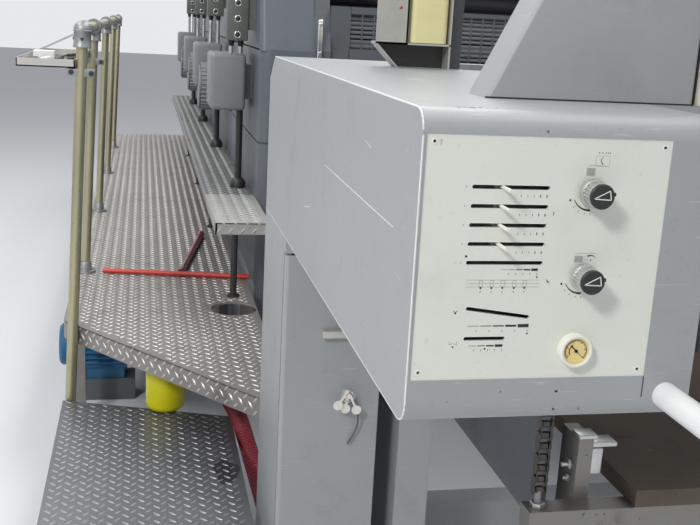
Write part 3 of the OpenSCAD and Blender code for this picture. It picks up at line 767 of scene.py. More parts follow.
first = step_plate(S_Y0, SEAMS[1] - 0.002) + [block(S_OUT, S_IN, S_Y0, S_Y0 + 0.006, S_TOP - 0.040,
                                                    S_TOP - 0.003)]
others = sum([step_plate(y0 + 0.002, y1 - 0.002 * (y1 < S_Y1))
              for y0, y1 in zip(SEAMS[1:], SEAMS[2:])], [])
stand_in("step_boards", "step_board_plates", both(join(*others)), "dark_tread", slot="steel")
# The front board takes the lighter copy of the board steel, a painted highlight.
add("step_board_first", both(join(*first)), "board_painted_highlight", slot="steel")
legs = []
for k in range(4):
    y = -2.520 + PITCH * k
    legs += [rod((-1.039, y, P_TOP - 0.001), (-1.039, y, S_TOP - 0.005), 0.012, 20),
             lathe([(0, 0), (0.024, 0), (0.024, 0.005), (0.014, 0.008), (0, 0.008)],
                   (-1.039, y, P_TOP), (0, 0, 1), 32)]
add("step_board_legs", both(join(*legs)), "dark_steel", slot="steel")

L_TOP = 0.250
tread = rounded(prism([(P_OUT, -3.830), (-1.085, -3.830), (-1.085, -3.048), (P_OUT, -2.878)], 2,
                      L_TOP - 0.006, L_TOP), 0.002,
                lambda m, d: m[2] > L_TOP - 0.001, 2)
lower = [tread, block(P_OUT, P_OUT + 0.040, -3.830, -2.900, L_TOP - 0.040, L_TOP - 0.005),
         block(-1.125, -1.085, -3.830, -3.050, L_TOP - 0.040, L_TOP - 0.005),
         block(-1.566, -1.124, -3.830, -3.790, L_TOP - 0.040, L_TOP - 0.005)]
for x in (P_OUT, -1.125):
    for y in (-3.830, -3.092):
        lower.append(block(x, x + 0.040, y, y + 0.040, 0, L_TOP - 0.039))
stand_in("lower_steps", "lower_step_plates", both(join(*lower)), "dark_tread")


def toothed(x, y, z, x1, r, depth, teeth):
    """Finned body along X: a square wave in the radius."""
    a = np.linspace(0, 2 * np.pi, teeth * 4, endpoint=False)
    rr = r - depth * (np.sin(teeth * a + 0.4) < 0)
    return prism(np.c_[y + rr * np.cos(a), z + rr * np.sin(a)], 0, x, x1)


PUMP = np.array([-1.665, -2.195, 0.210])
BOWL = np.array([-1.285, -2.960])
px, py, pz = PUMP
body = [lathe([(0, 0), (0.070, 0), (0.080, 0.010), (0.080, 0.060), (0, 0.060)], PUMP, (1, 0, 0),
              48), toothed(px + 0.059, py, pz, px + 0.250, 0.100, 0.014, 24),
        lathe([(0, 0), (0.080, 0), (0.080, 0.03), (0.088, 0.03), (0.088, 0.038), (0.080, 0.038),
               (0.080, 0.058), (0.088, 0.058), (0.088, 0.066),
               (0.080, 0.066), (0.080, 0.086), (0.088, 0.086), (0.088, 0.094), (0.080, 0.094),
               (0.080, 0.150), (0.070, 0.160), (0, 0.160)],
              PUMP + (0.249, 0, 0), (1, 0, 0), 48),
        block(px + 0.10, px + 0.24, py - 0.05, py + 0.05, pz - 0.125, pz - 0.055)]
bx = BOWL[0]
elbow = smooth_path([(bx, py, pz), (bx, py, 0.300), (bx, py - 0.010, 0.345),
                     (bx, py - 0.060, 0.360), (bx, py - 0.300, 0.360),
                     (bx, BOWL[1] + 0.055, 0.360)], 60)
body += [tube(elbow, 0.020, 20), rod((px + 0.320, py - 0.085, pz), (px + 0.320, py - 0.115, pz),
                                     0.031, 28)]
add("pump_foot", block(px + 0.06, px + 0.28, py - 0.06, py + 0.06, 0, pz - 0.124), "casting",
    slot="pump")
stand_in("pump", "pump_body", join(*body), "pump", crease=30)
bowl = lathe([(0, 0.250), (0.042, 0.250), (0.052, 0.2535), (0.059, 0.262), (0.061, 0.272),
              (0.061, 0.372), (0.056, 0.384), (0.046, 0.388), (0.020, 0.388),
              (0.020, 0.484), (0, 0.484)], (BOWL[0], BOWL[1], 0), (0, 0, 1), 56)
stand_in("filter_bowl", "bowl_body", bowl, "bowl")
print("pieces in place of nodes ready")

# %% [markdown]
# The walkways are of chequer plate: raised lozenges, turned left and right by turns, so that a boot
# grips in every direction. One lozenge is eleven small faces, laid out on a lattice and kept where
# it falls inside the plate's outline. Real height matters here, because low light catches each one.
# %% Chequer plate
LATTICE = 19.0 * MM
LOZENGE_L = 13.2 * MM
LOZENGE_W = 3.9 * MM
LOZENGE_H = 1.5 * MM


def lozenge():
    """Lens outline of six points at the plate and six smaller ones on top."""
    a, b = LOZENGE_L, LOZENGE_W
    foot = [(a, 0), (a * 0.4, b), (-a * 0.4, b), (-a, 0), (-a * 0.4, -b), (a * 0.4, -b)]
    low = np.array([(x, y, -0.0003) for x, y in foot])
    high = np.array([(x * 0.72, y * 0.45, LOZENGE_H) for x, y in foot])
    sides = [[k, (k + 1) % 6, (k + 1) % 6 + 6, k + 6] for k in range(6)]
    return np.concatenate([low, high]), sides + [[11, 10, 9, 8, 7, 6], [0, 1, 2, 3, 4, 5]]


def lattice(u0, u1, v0, v1):
    """Checkered lattice points over a rectangle, and the turn of each, left or right by turns."""
    i, j = np.meshgrid(np.arange(int((u1 - u0) / LATTICE) + 1),
                       np.arange(int((v1 - v0) / LATTICE) + 1))
    keep = (i + j) % 2 == 0
    i, j = i[keep], j[keep]
    return np.stack([u0 + i * LATTICE, v0 + j * LATTICE], 1), np.where(i % 2 == 0, 0.79, -0.79)


def inside(points, corners, margin):
    """True where a point is inside a convex outline by the margin."""
    ok = np.ones(len(points), bool)
    corners = np.asarray(corners)
    mid = corners.mean(0)
    for a, b in zip(corners, np.roll(corners, -1, 0)):
        normal = unit((a[1] - b[1], b[0] - a[0]))
        normal = normal * np.sign(np.dot(mid - a, normal))
        ok &= (points - a) @ normal > margin
    return ok


def treads(corners, z, holes=()):
    """Lozenges on a level plate of convex outline."""
    corners = np.asarray(corners)
    at, angle = lattice(*np.stack([corners.min(0), corners.max(0)], 1).ravel())
    keep = inside(at, corners, LOZENGE_L * 0.8)
    for x, y, r in holes:
        keep &= np.hypot(at[:, 0] - x, at[:, 1] - y) > r + LOZENGE_L * 0.8
    places = np.c_[at[keep], np.full(keep.sum(), z)]
    return repeat(*lozenge(), places, turn_z(angle[keep]))


def edge_treads(a, b, z0, z1, out):
    """Lozenges on an upright edge face from a to b (x, y), between two heights."""
    a, b = np.asarray(a, float), np.asarray(b, float)
    length = np.linalg.norm(b - a)
    at, angle = lattice(0.012, length - 0.012, z0 + 0.011, z1 - 0.008)
    u, w = np.append(unit(b - a), 0), np.array([0, 0, 1.0])
    n = np.append(out, 0)
    places = np.append(a, 0) + at[:, :1] * u + at[:, 1:] * w
    base = np.stack([u, w, n], 1)
    if np.linalg.det(base) < 0:
        base = np.stack([-u, w, n], 1)
    return repeat(*lozenge(), places, base @ turn_z(angle))


def mirrored(shape):
    """The same shape on the drive side."""
    return shape[0] * (-1, 1, 1), shape[1]


plate_edge = [(P_IN, P_NEAR), (CONSOLE_X, P_NEAR), (P_OUT, P_FRONT + 0.02), (P_OUT, P_BACK),
              (P_IN, P_BACK)]
slant_out = unit((P_NEAR - P_FRONT, P_OUT - CONSOLE_X))
slant_out = slant_out if slant_out[1] < 0 else -slant_out
shapes = join(
    treads(plate_edge, P_TOP, [(-1.05, -2.677, 0.078)]),
    edge_treads(np.add((CONSOLE_X, P_NEAR), slant * 0.004), corner - slant * 0.030, P_TOP - 0.06,
                P_TOP, slant_out))
# The lozenges take the lighter copy of the tread steel, a painted highlight.
add("platform_treads_operator", shapes, "tread_painted_highlight", slot="tread")
add("platform_treads_drive", mirrored(shapes), "tread_painted_highlight", slot="tread")
boards = join(
    treads([(S_OUT, S_Y0), (S_IN, S_Y0), (S_IN, S_Y1), (S_OUT, S_Y1)], S_TOP),
    edge_treads((S_OUT, S_Y0), (S_IN, S_Y0), S_TOP - 0.04, S_TOP, (0, -1)),
    edge_treads((S_OUT, S_Y0), (S_OUT, S_Y1), S_TOP - 0.04, S_TOP, (-1, 0)))
# The board lozenges take the lighter copy of the board steel, a painted highlight.
add("step_board_treads_operator", boards, "board_painted_highlight", slot="steel")
add("step_board_treads_drive", mirrored(boards), "board_painted_highlight", slot="steel")
low = treads([(P_OUT, -3.830), (-1.085, -3.830), (-1.085, -3.048), (P_OUT, -2.878)], L_TOP)
# The lower steps' lozenges take the lighter copy of their steel, a painted highlight.
add("lower_step_treads_operator", low, "lower_tread_painted_highlight", slot="dark_tread")
add("lower_step_treads_drive", mirrored(low), "lower_tread_painted_highlight", slot="dark_tread")
print("lozenges", len(shapes[0]) // 12, len(boards[0]) // 12, len(low[0]) // 12, "a side")

# %% [markdown]
# The control panel is silk-screened: scales that thicken towards more air, small diagrams and
# ticks. A print is a few hundredths of a millimetre of ink, and here each mark is a thin raised
# shape, so it stays sharp at any distance and needs no image.
# %% Panel prints
PANEL_Y = -4.889
INK = 0.00016
INK_BACK = 0.0002


def on_panel(line):
    """(x mm, z mm, height) to a point on the panel's face."""
    return np.c_[line[:, 0] * MM, PANEL_Y + INK_BACK - line[:, 2] * (INK + INK_BACK),
                 line[:, 1] * MM]


def bar(x0, x1, z0, z1):
    """Rectangle outline."""
    return [(x0, z0), (x1, z0), (x1, z1), (x0, z1)]


def disc(x, z, r, n=14):
    """Round dot outline."""
    t = np.linspace(0, 2 * np.pi, n, endpoint=False)
    return np.c_[x + r * np.cos(t), z + r * np.sin(t)]


def frame_lines(x0, x1, z0, z1, w):
    """Four bars that frame a rectangle."""
    return [bar(x0, x1, z0, z0 + w), bar(x0, x1, z1 - w, z1),
            bar(x0, x0 + w, z0 + w, z1 - w), bar(x1 - w, x1, z0 + w, z1 - w)]


def wedge_scale(x0, x1, z, steps, thin, thick, gap=1.6):
    """Row of bars that grow from thin to thick."""
    edges = np.linspace(x0, x1, steps + 1)
    tall = np.geomspace(thin, thick, steps) / 2
    return [bar(a, b - gap, z - h, z + h) for a, b, h in zip(edges, edges[1:], tall)]


def ticks(xs, z, tall, wide=0.55):
    """Short upright marks."""
    return [bar(x - wide / 2, x + wide / 2, z - tall / 2, z + tall / 2) for x in xs]


def arc(x, z, r, a0, a1, w0, w1, n=18):
    """Arc band whose width grows from w0 to w1."""
    t = np.radians(np.linspace(a0, a1, n))
    w = np.linspace(w0, w1, n) / 2
    out = np.c_[x + (r + w) * np.cos(t), z + (r + w) * np.sin(t)]
    back = np.c_[x + (r - w) * np.cos(t), z + (r - w) * np.sin(t)][::-1]
    return np.concatenate([out, back])


def line(points, w):
    """Thin bars along a polyline."""
    out = []
    for a, b in zip(np.asarray(points[:-1], float), np.asarray(points[1:], float)):
        n = np.array([a[1] - b[1], b[0] - a[0]]) / np.linalg.norm(b - a) * w / 2
        out.append([a + n, b + n, b - n, a - n])
    return out


SLOT_X, SLOT_TOP, SLOT_STEP = -989.5, 1294.8, 22.3
black, grey = [], []
for i in range(4):
    z = SLOT_TOP - i * SLOT_STEP
    black += ticks([SLOT_X + 60, SLOT_X + 68, SLOT_X + 76, SLOT_X + 84, SLOT_X + 92], z - 9.5, 2.6,
                   0.5)
    black += ticks([SLOT_X + 83.2, SLOT_X + 91], z - 9.5, 3.6, 0.5)
    grey += ticks([SLOT_X - 7], z, 2.4, 0.9)
black += ticks([-887.5], 1265, 4.5, 0.9)
black += wedge_scale(-946, -899, 1197.6, 5, 0.3, 3.0, 1.2) + ticks(np.linspace(-936, -901, 5),
                                                                   1192.6, 2.2)
black += [disc(-900.5, 1188.6, 1.1), disc(-990, 1213.4, 1.5)]
grey += ticks([-1003, -996], 1205.6, 1.6, 0.8)
grey += [bar(-987.5, -897, z - 0.22, z + 0.22) for z in (1185, 1181, 1176.6)]
for x in (-969.3, -955.7, -942.3, -927.9, -915.0):
    grey += frame_lines(x - 2.2, x + 2.2, 1176.5, 1184.8, 0.45)
    black += [disc(x, 1175.4, 1.25, 3 + 7)] + ticks([x], 1170.6, 2.2)
black += [disc(-886.3, 1183, 1.3, 5)] + line([(-888.6, 1185.6), (-884, 1180.6)], 0.6)
black += [disc(-997.5, 1144.6, 1.1)] + line([(-1000, 1148), (-997.5, 1145), (-995, 1148)], 0.7)
black += wedge_scale(-981, -903, 1128.8, 5, 0.5, 4.2, 1.8) + ticks(np.linspace(-970, -906, 5),
                                                                   1122.6, 2.4)
black += [disc(-906, 1118.9, 1.1)]
black += wedge_scale(-978, -934, 1104.2, 4, 0.5, 3.1, 1.4) + ticks(np.linspace(-971, -936, 5),
                                                                   1098.8, 2.4)
black += [disc(-957.5, 1100.4, 1.2), disc(-997.5, 1103.2, 1.1)]
grey += line([(-1002, 1110), (-1002, 1106), (-997.5, 1107.5), (-993, 1106), (-993, 1110)], 0.6)
for kz in (1291.0, 1190.0):
    kx = -844.0
    black += [arc(kx, kz, 21.5, 205, 274, 0.7, 2.6), disc(kx - 24.6, kz - 9.8, 1.35)]
    for a in (222, 240, 258, 274):
        c, s = math.cos(math.radians(a)), math.sin(math.radians(a))
        black += line([(kx + 25.2 * c, kz + 25.2 * s), (kx + 27.2 * c, kz + 27.2 * s)], 0.6)
grey_square = [[bar(-852, -841.4, z, z + 0.85)] for z in np.arange(1310.6, 1319, 1.15)]
grey_square += [[bar(-855.6, -845, z, z + 0.85)] for z in np.arange(1206.8, 1214.4, 1.15)]
grey += [row[0] for row in grey_square]
grey += line([(-850, 1322.3), (-832, 1322.3), (-826, 1321.6)], 0.5)
black += [arc(-831, 1328.4, 4.4, 110, 250, 0.3, 1.1)]
grey += frame_lines(-842, -824.6, 1321.6, 1334, 0.3)
black += ticks([-838.4, -834.6], 1337.2, 1.5, 1.1) + ticks([-830.4, -827.4, -825.2], 1337.2, 1.5,
                                                           0.9)
grey += line([(-855, 1217.8), (-829, 1217.8)], 0.5)
black += [arc(-835, 1206.5, 8.6, 38, 118, 0.3, 1.8)] + ticks([-834.8], 1209.6, 3.0, 0.7)
grey += [arc(-841, 1212.2, 2.6, 0, 350, 0.4, 0.4)]
grey += ticks([-1030.4, -1029.2], 1344.8, 6.0, 0.5)
add("panel_print_black", prisms(black, on_panel), "print_black", slot="panel")
add("panel_print_grey", prisms(grey, on_panel), "print_grey", slot="panel")
print("marks", len(black) + len(grey))

# %% [markdown]
# Each slot is punched and its edge has lost its enamel, which shows as a light line round the dark
# opening. The panel is held by four sunk screws.
# %% Slot rims and screws


def slot_rim(x, z, length, tall, tilt, w=0.9, n=12):
    """Band between two slot outlines: half circles joined by straight lines, turned by tilt."""
    t0 = np.radians(np.linspace(90, 270, n))
    t1 = np.radians(np.linspace(-90, 90, n))
    r = tall / 2
    def outline(rr):
        left = np.c_[rr * np.cos(t0), rr * np.sin(t0)]
        right = np.c_[length - tall + rr * np.cos(t1), rr * np.sin(t1)]
        return np.concatenate([left, right])
    inner, outer = outline(r), outline(r + w)
    a = math.radians(tilt)
    turn = np.array([[math.cos(a), math.sin(a)], [-math.sin(a), math.cos(a)]])
    inner, outer = inner @ turn + (x, z), outer @ turn + (x, z)
    m = len(inner)
    return [[inner[k], outer[k], outer[(k + 1) % m], inner[(k + 1) % m]] for k in range(m)]


rims = []
for i in range(5):
    rims += slot_rim(SLOT_X + 2.5, SLOT_TOP - i * SLOT_STEP, 95, 5, 0)
rims += slot_rim(-982.5, 1150, 81, 5, -8) + slot_rim(-982.5, 1113, 52, 5, 0)
add("panel_slot_rims", prisms(rims, on_panel), "bare_metal_and_highlight", slot="panel")
SCREWS = [(-1037.6, 1345.4), (-756.3, 1345.2), (-1037.7, 1072), (-757, 1071.3)]
rings = [lathe([(0, -0.2e-3), (3.6e-3, -0.2e-3), (3.8e-3, 0.3e-3), (3.1e-3, 0.7e-3),
                (2.3e-3, 0.7e-3),
                (2.0e-3, 0.3e-3), (0, 0.3e-3)], (x * MM, PANEL_Y, z * MM), (0, -1, 0), 24)
                for x, z in SCREWS]
add("panel_screw_rims", join(*rings), "bare_metal_and_highlight", slot="panel")
# A flat black hexagon on each screw head: painted shade in place of the dark socket hole.
holes = [lathe([(0, 0.2e-3), (1.9e-3, 0.2e-3), (1.9e-3, 0.45e-3), (0, 0.45e-3)],
               (x * MM, PANEL_Y, z * MM), (0, -1, 0), 6) for x, z in SCREWS]
add("panel_screw_socket_shade", join(*holes), "print_black", slot="panel")
print("rims", len(rims), "screws", len(SCREWS))

# %% [markdown]
# A knob is a fluted aluminium body with a black cap, a small nose and a printed white pointer. The
# flutes come from the radius, which rises and falls with the angle. Each knob rides on its own body,
# so it turns with its joint.
# %% Knobs
KNOB_X = -0.844
KNOB_R = 0.017
KNOB_Y = PANEL_Y - 0.005
KNOB_H = 0.028


def fluted(centre, heights, radii, flutes, depth, sides):
    """Turned body whose radius is r - depth * (0.5 + 0.5 cos(flutes a))^2, about the -Y axis."""
    a = np.linspace(0, 2 * np.pi, sides, endpoint=False)
    wave = (0.5 + 0.5 * np.cos(flutes * a)) ** 2
    r = np.asarray(radii)[:, None] - np.asarray(depth)[:, None] * wave
    h = np.asarray(heights)[:, None] + 0 * r
    points = np.stack([centre[0] + r * np.cos(a), centre[1] - h, centre[2] + r * np.sin(a)], -1)
    points = np.concatenate([np.repeat([[centre[0], centre[1] - heights[0], centre[2]]], sides,
                                       0)[None], points,
                             np.repeat([[centre[0], centre[1] - heights[-1], centre[2]]], sides,
                                       0)[None]])
    return grid(points)


def knob(name, z, pointer):
    """Skirt, fluted body, cap, nose and pointer of one knob; pointer is its angle in degrees."""
    c = (KNOB_X, KNOB_Y, z)
    skirt = fluted(c, [0, 0.0004, 0.0062, 0.0078],
                   [KNOB_R - 0.0006, KNOB_R, KNOB_R, KNOB_R - 0.0012],
                   36, [0, 0.0006, 0.0006, 0], 216)
    body = fluted(c, [0.0076, 0.0084, 0.0225, 0.0232], [0.0147, 0.0152, 0.0146, 0.014],
                  20, [0.0001, 0.0011, 0.0011, 0], 240)
    metal = add(name + "_body", join(skirt, body), "knob_metal", name, "knob")
    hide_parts(name)
    cap = lathe([(0, 0.0228), (0.0143, 0.0228), (0.0147, 0.0236), (0.0147, 0.0268),
                 (0.0138, 0.0278),
                 (0, KNOB_H)], c, (0, -1, 0), 72)
    t = math.radians(pointer)
    ax, az = math.cos(t), math.sin(t)
    nose = soft_box((-0.0022, -0.0022, -0.0021), (0.0022, 0.0022, 0.0021), 0.0008)
    nose = (nose[0] + (c[0] - ax * 0.0145, c[1] - 0.0249, c[2] - az * 0.0145), nose[1])
    add(name + "_cap", join(cap, nose), "knob", name)
    tip, tail = 10.6, 9.4

    def place(rows):
        u, v = rows[:, 0] * MM, rows[:, 1] * MM
        return np.c_[c[0] + u * ax - v * az, c[1] - 0.02745 - rows[:, 2] * 0.0007,
                     c[2] + u * az + v * ax]

    outline = [(tip, 0), (-tail, 5.4), (-tail, -5.4), (tip, 0)]
    add(name + "_pointer", prisms(line(outline, 1.1), place), "print_white", name, "knob")


knob("knob_upper", 1.291, 192)
knob("knob_lower", 1.190, 192)
print("knobs 2, tall", KNOB_H, "m")

# %% [markdown]
# The vacuum gauge has a white rim, a sunk yellowed dial with red and black arcs, a needle and a
# glass. The glass is thin and clear, so the dial shows through it.
# %% Gauge
GAUGE = (-0.845, PANEL_Y, 1.099)
GAUGE_DEEP = 0.0092


def on_dial(rows):
    """(x mm, z mm, height) to a point just above the dial."""
    return np.c_[GAUGE[0] + rows[:, 0] * MM, GAUGE[1] - GAUGE_DEEP - 0.0002 - rows[:, 2] * 0.0002,
                 GAUGE[2] + rows[:, 1] * MM]


add("gauge_dial", lathe([(0, 0.0088), (0.0169, 0.0088), (0.0169, GAUGE_DEEP), (0, GAUGE_DEEP)],
                        GAUGE, (0, -1, 0), 64), "dial", slot="gauge")
marks = [arc(0, 0, 13.6, -40, 220, 0.35, 0.35, 40)]
for k, a in enumerate(np.linspace(-40, 220, 27)):
    c, s = math.cos(math.radians(a)), math.sin(math.radians(a))
    inner = 10.6 if k % 5 == 0 else 12.2
    marks += line([(inner * c, inner * s), (14.4 * c, 14.4 * s)], 0.5 if k % 5 else 0.8)
add("gauge_marks", prisms(marks, on_dial), "print_black", slot="gauge")
add("gauge_red_arc", prisms([arc(0, 0, 8.6, 120, 215, 1.5, 1.5, 24)], on_dial), "print_red",
    slot="gauge")
needle = [(11.2, -10.2), (-6.6, 7.6), (-8.0, 6.4)]
hub = disc(0, 0, 2.1, 18)


def over_dial(rows):
    """Needle plane, a millimetre above the dial."""
    return on_dial(rows) - np.array([0, 0.0008, 0])


add("gauge_needle", prisms([needle, hub], over_dial), "print_black", slot="gauge")
add("gauge_rim", lathe([(0.0166, 0.0095), (0.0166, 0.0122), (0.0178, 0.0130), (0.0196, 0.0128),
                        (0.0206, 0.0112),
                        (0.0206, 0.0004), (0.0203, 0.0001), (0.0200, 0.0004), (0.0199, 0.0095)],
                       GAUGE, (0, -1, 0), 72), "gauge")
print("gauge marks", len(marks))

# %% [markdown]
# The handrail is tube held in cast fittings. The casting is a dull grey sleeve with a rolled mouth
# and a sunk set screw, so it is a turned piece slipped over each joint of the rail. The rail leans a
# little, and so do the sleeves: one direction vector serves for all of them.
# %% Handrail fittings
LEAN = math.radians(2.5)
UPWARD = np.array([math.sin(LEAN), 0, math.cos(LEAN)])
ACROSS = np.array([math.cos(LEAN), 0, -math.sin(LEAN)])
POST_X, POST_Z = -1.571, 0.490
POST_YS = [-2.865, -2.172, -0.972, 0.228, 1.428]
RAIL_R = 0.01685
SLEEVE_R = RAIL_R + 0.0084
RAIL_H = 0.91515


def on_post(k, height, across=0.0):
    """Point beside post k at a height above the platform, along the lean."""
    return np.array([POST_X, POST_YS[k], POST_Z]) + height * UPWARD + across * ACROSS


def sleeve(base, along, length, r=SLEEVE_R):
    """Turned sleeve with rolled mouths: a wall, two rounded lips and a bore over the tube."""
    lip = 0.0016
    rows = [(RAIL_R + 0.0002, 0), (r + lip - 0.001, 0), (r + lip, 0.0012), (r + lip, 0.006),
            (r, 0.0082),
            (r, length - 0.0082), (r + lip, length - 0.006), (r + lip, length - 0.0012),
            (r + lip - 0.001, length), (RAIL_R + 0.0002, length)]
    return lathe(rows, base, along, 36)


def ball(centre, r):
    """Round body of a fitting, turned from a half circle."""
    t = np.linspace(-90, 90, 17)
    return lathe([(r * math.cos(math.radians(a)), r * math.sin(math.radians(a))) for a in t],
                 centre,
                 (0, 0, 1), 36)


def socket_screw(centre, out, r=0.0048):
    """Set screw: a short turned plug with a six-sided socket."""
    plug = lathe([(0, -0.004), (r, -0.004), (r, 0.0012), (r - 0.0008, 0.002), (0, 0.002)], centre,
                 out, 20)
    socket = lathe([(0, 0.0019), (r * 0.5, 0.0019), (r * 0.5, 0.00235), (0, 0.00235)], centre, out,
                   6)
    return join(plug, socket)


castings, screws, tubes = [], [], [rod((POST_X, 0, POST_Z) + RAIL_H * UPWARD + (0, POST_YS[0], 0),
                                       (POST_X, 0, POST_Z) + RAIL_H * UPWARD + (0, POST_YS[4], 0),
                                       RAIL_R, 28)]
for k in range(5):
    tubes.append(rod(on_post(k, 0.001 - (0 if k else POST_Z)), on_post(k, RAIL_H), RAIL_R, 28))
    castings += [sleeve(on_post(k, RAIL_H - 0.052), UPWARD, 0.052),
                 ball(on_post(k, RAIL_H), SLEEVE_R + 0.0006)]
    screws += [socket_screw(on_post(k, RAIL_H - 0.026) - (0, SLEEVE_R, 0), (0, -1, 0)),
               socket_screw(on_post(k, RAIL_H - 0.026) - ACROSS * SLEEVE_R, -ACROSS)]
    first = 0.002 if k == 0 else -0.042
    last = -0.002 if k == 4 else 0.042
    castings += [sleeve(on_post(k, RAIL_H) + (0, first, 0), (0, 1, 0),
                        last - first + 0.006 * (k == 0) + 0.03 * (k == 0))]
    foot = np.array([POST_X - (POST_Z * math.tan(LEAN) if k == 0 else 0), POST_YS[k],
                     0.0 if k == 0 else POST_Z])
    wide = 0.0384 if k else 0.0250
    castings += [lathe([(RAIL_R + 0.0006, 0.0001), (wide, 0.0001), (wide + 0.0002, 0.0065),
                        (wide - 0.0008, 0.0086),
                        (0.0252, 0.0092), (0.0236, 0.014), (0.0232, 0.040), (0.0216, 0.042),
                        (RAIL_R + 0.0006, 0.042)],
                       foot, (0, 0, 1), 40)]
    for a in (20, 110, 200, 290) if k else ():
        c, s = math.cos(math.radians(a)), math.sin(math.radians(a))
        screws += [socket_screw(foot + (0.031 * c, 0.031 * s, 0.0085), (0, 0, 1), 0.0036)]


def clamp(k):
    """Split clamp round a post: two rounded jaws with a saw cut between, and two bolts."""
    parts = []
    for side in (-1, 1):
        low, high = (-0.0392, 0.0008, 0.0), (0.0392, 0.0142, 0.0226)
        v, f = soft_box(low, high, 0.0022)
        v = v * (1, side, 1)
        parts.append((v @ np.stack([ACROSS, (0, 1, 0),
                                    UPWARD]) + on_post(k, 1.270 - POST_Z - 0.0003), f))
    heads = []
    for x in (-0.029, 0.029):
        at = on_post(k, 1.281 - POST_Z, x)
        heads += [lathe([(0, 0), (0.0062, 0), (0.0065, 0.0008), (0.0065, 0.0042), (0.0058, 0.005),
                         (0, 0.005)],
                        at - (0, 0.0142, 0), (0, -1, 0), 6),
                  lathe([(0, 0), (0.0075, 0), (0.0075, 0.0012), (0, 0.0012)], at - (0, 0.0138, 0),
                        (0, -1, 0), 20)]
    return join(*parts), join(*heads)


for k in (0, 1):
    jaws, heads = clamp(k)
    castings.append(jaws)
    screws.append(heads)
fittings, small = join(*castings), join(*screws)
stand_in("handrails", "rail_tubes", both(join(*tubes)), "rail")
add("rail_fittings_operator", fittings, "fitting", slot="rail")
add("rail_fittings_drive", mirrored(fittings), "fitting", slot="rail")
add("rail_screws_operator", small, "dark_steel", slot="rail")
add("rail_screws_drive", mirrored(small), "dark_steel", slot="rail")
print("fittings", len(castings), "screws", len(screws))

# %% [markdown]
# Spanners and bars lie in the tray, and a red welded bar with a short arm lies across the platform.
# A spanner is one outline with two open jaws, given thickness and laid flat.
# %% Loose tools
TRAY_Z = 1.2972
TRAY_X = -1.5543


def spanner(length, head):
    """Outline in mm: a shank with an open jaw at each end."""
    h, s = head / 2, head * 0.23
    left = [(-length / 2 + head * 0.55, -s), (-length / 2 + head * 0.1, -h * 0.95),
            (-length / 2 - head * 0.42, -h * 0.62),
            (-length / 2 - head * 0.40, -h * 0.34), (-length / 2 + head * 0.06, -h * 0.36),
            (-length / 2 + head * 0.06, h * 0.36), (-length / 2 - head * 0.40, h * 0.34),
            (-length / 2 - head * 0.42, h * 0.62), (-length / 2 + head * 0.1, h * 0.95),
            (-length / 2 + head * 0.55, s)]
    right = [(-x, -y) for x, y in left]
    return np.array(left + right)


def lay(outline, at, angle, thick):
    """Outline laid flat at a point, turned by an angle in degrees."""
    c, s = math.cos(math.radians(angle)), math.sin(math.radians(angle))

    def place(rows):
        x, y = rows[:, 0] * MM, rows[:, 1] * MM
        return np.c_[at[0] + c * x - s * y, at[1] + s * x + c * y, at[2] + rows[:, 2] * thick]

    return prisms([outline], place)


T0, T1, Y0, Y1 = TRAY_X - 0.165, TRAY_X, -2.885, -2.162
pan = [block(T0, T1, Y0, Y1, 1.2935, TRAY_Z), block(T0, T0 + 0.003, Y0, Y1, 1.2935, 1.318),
       block(T1 - 0.003, T1, Y0, Y1, 1.2935, 1.318),
       block(T0, T1, Y0, Y0 + 0.003, 1.2935, 1.318), block(T0, T1, Y1 - 0.003, Y1, 1.2935, 1.318),
       prism([(T0, 1.317), (T0 + 0.014, 1.317), (T1 - 0.0026, 1.390), (T1 - 0.0026, 1.398)], 1,
             Y1 - 0.030, Y1 - 0.010)]
stand_in("tool_tray", "tray_pan", join(*pan), "zinc")
tools = []
for length, head, x, y, angle in [(190, 38, -0.055, -2.70, 82), (150, 30, -0.105, -2.66, 97),
                                  (230, 46, -0.085, -2.42, 88),
                                  (120, 24, -0.035, -2.45, 70), (165, 34, -0.125, -2.27, 95)]:
    tools.append(lay(spanner(length, head), (TRAY_X + x, y, TRAY_Z), angle, 0.0065))
tools.append(rod((TRAY_X - 0.030, -2.84, TRAY_Z + 0.008), (TRAY_X - 0.046, -2.58, TRAY_Z + 0.008),
                 0.0075))
tools.append(rod((TRAY_X - 0.140, -2.86, TRAY_Z + 0.0105), (TRAY_X - 0.120, -2.76, TRAY_Z + 0.0105),
                 0.010))
tools.append(rod((TRAY_X - 0.060, -2.31, TRAY_Z + 0.006), (TRAY_X - 0.030, -2.20, TRAY_Z + 0.006),
                 0.0055))
add("tray_tools", join(*tools), "dark_steel", slot="zinc")
handles = [rod((TRAY_X - 0.09, -2.86, TRAY_Z + 0.0125), (TRAY_X - 0.082, -2.775, TRAY_Z + 0.0125),
               0.012, 12, 0.004),
           soft_box((TRAY_X - 0.15, -2.56, TRAY_Z), (TRAY_X - 0.085, -2.50, TRAY_Z + 0.03), 0.003)]
add("tray_bits", join(*handles), "white_tube", slot="zinc")
BAR_R, ARM_R = 0.0095, 0.0125
floor_z = P_TOP + LOZENGE_H
bar_a = np.array([-1.505, -2.193, floor_z + BAR_R])
bar_b = np.array([-0.957, -2.289, floor_z + BAR_R])
joint = bar_a + (bar_b - bar_a) * 0.53 + (0, 0, 0.002)
arm_end = np.array([-1.1002, -1.552, floor_z + ARM_R])
add("red_bar", join(rod(bar_a, bar_b, BAR_R, 20)), "red_paint", slot="hose")
arm_axis = unit(arm_end - joint)
arm_len = np.linalg.norm(arm_end - joint)
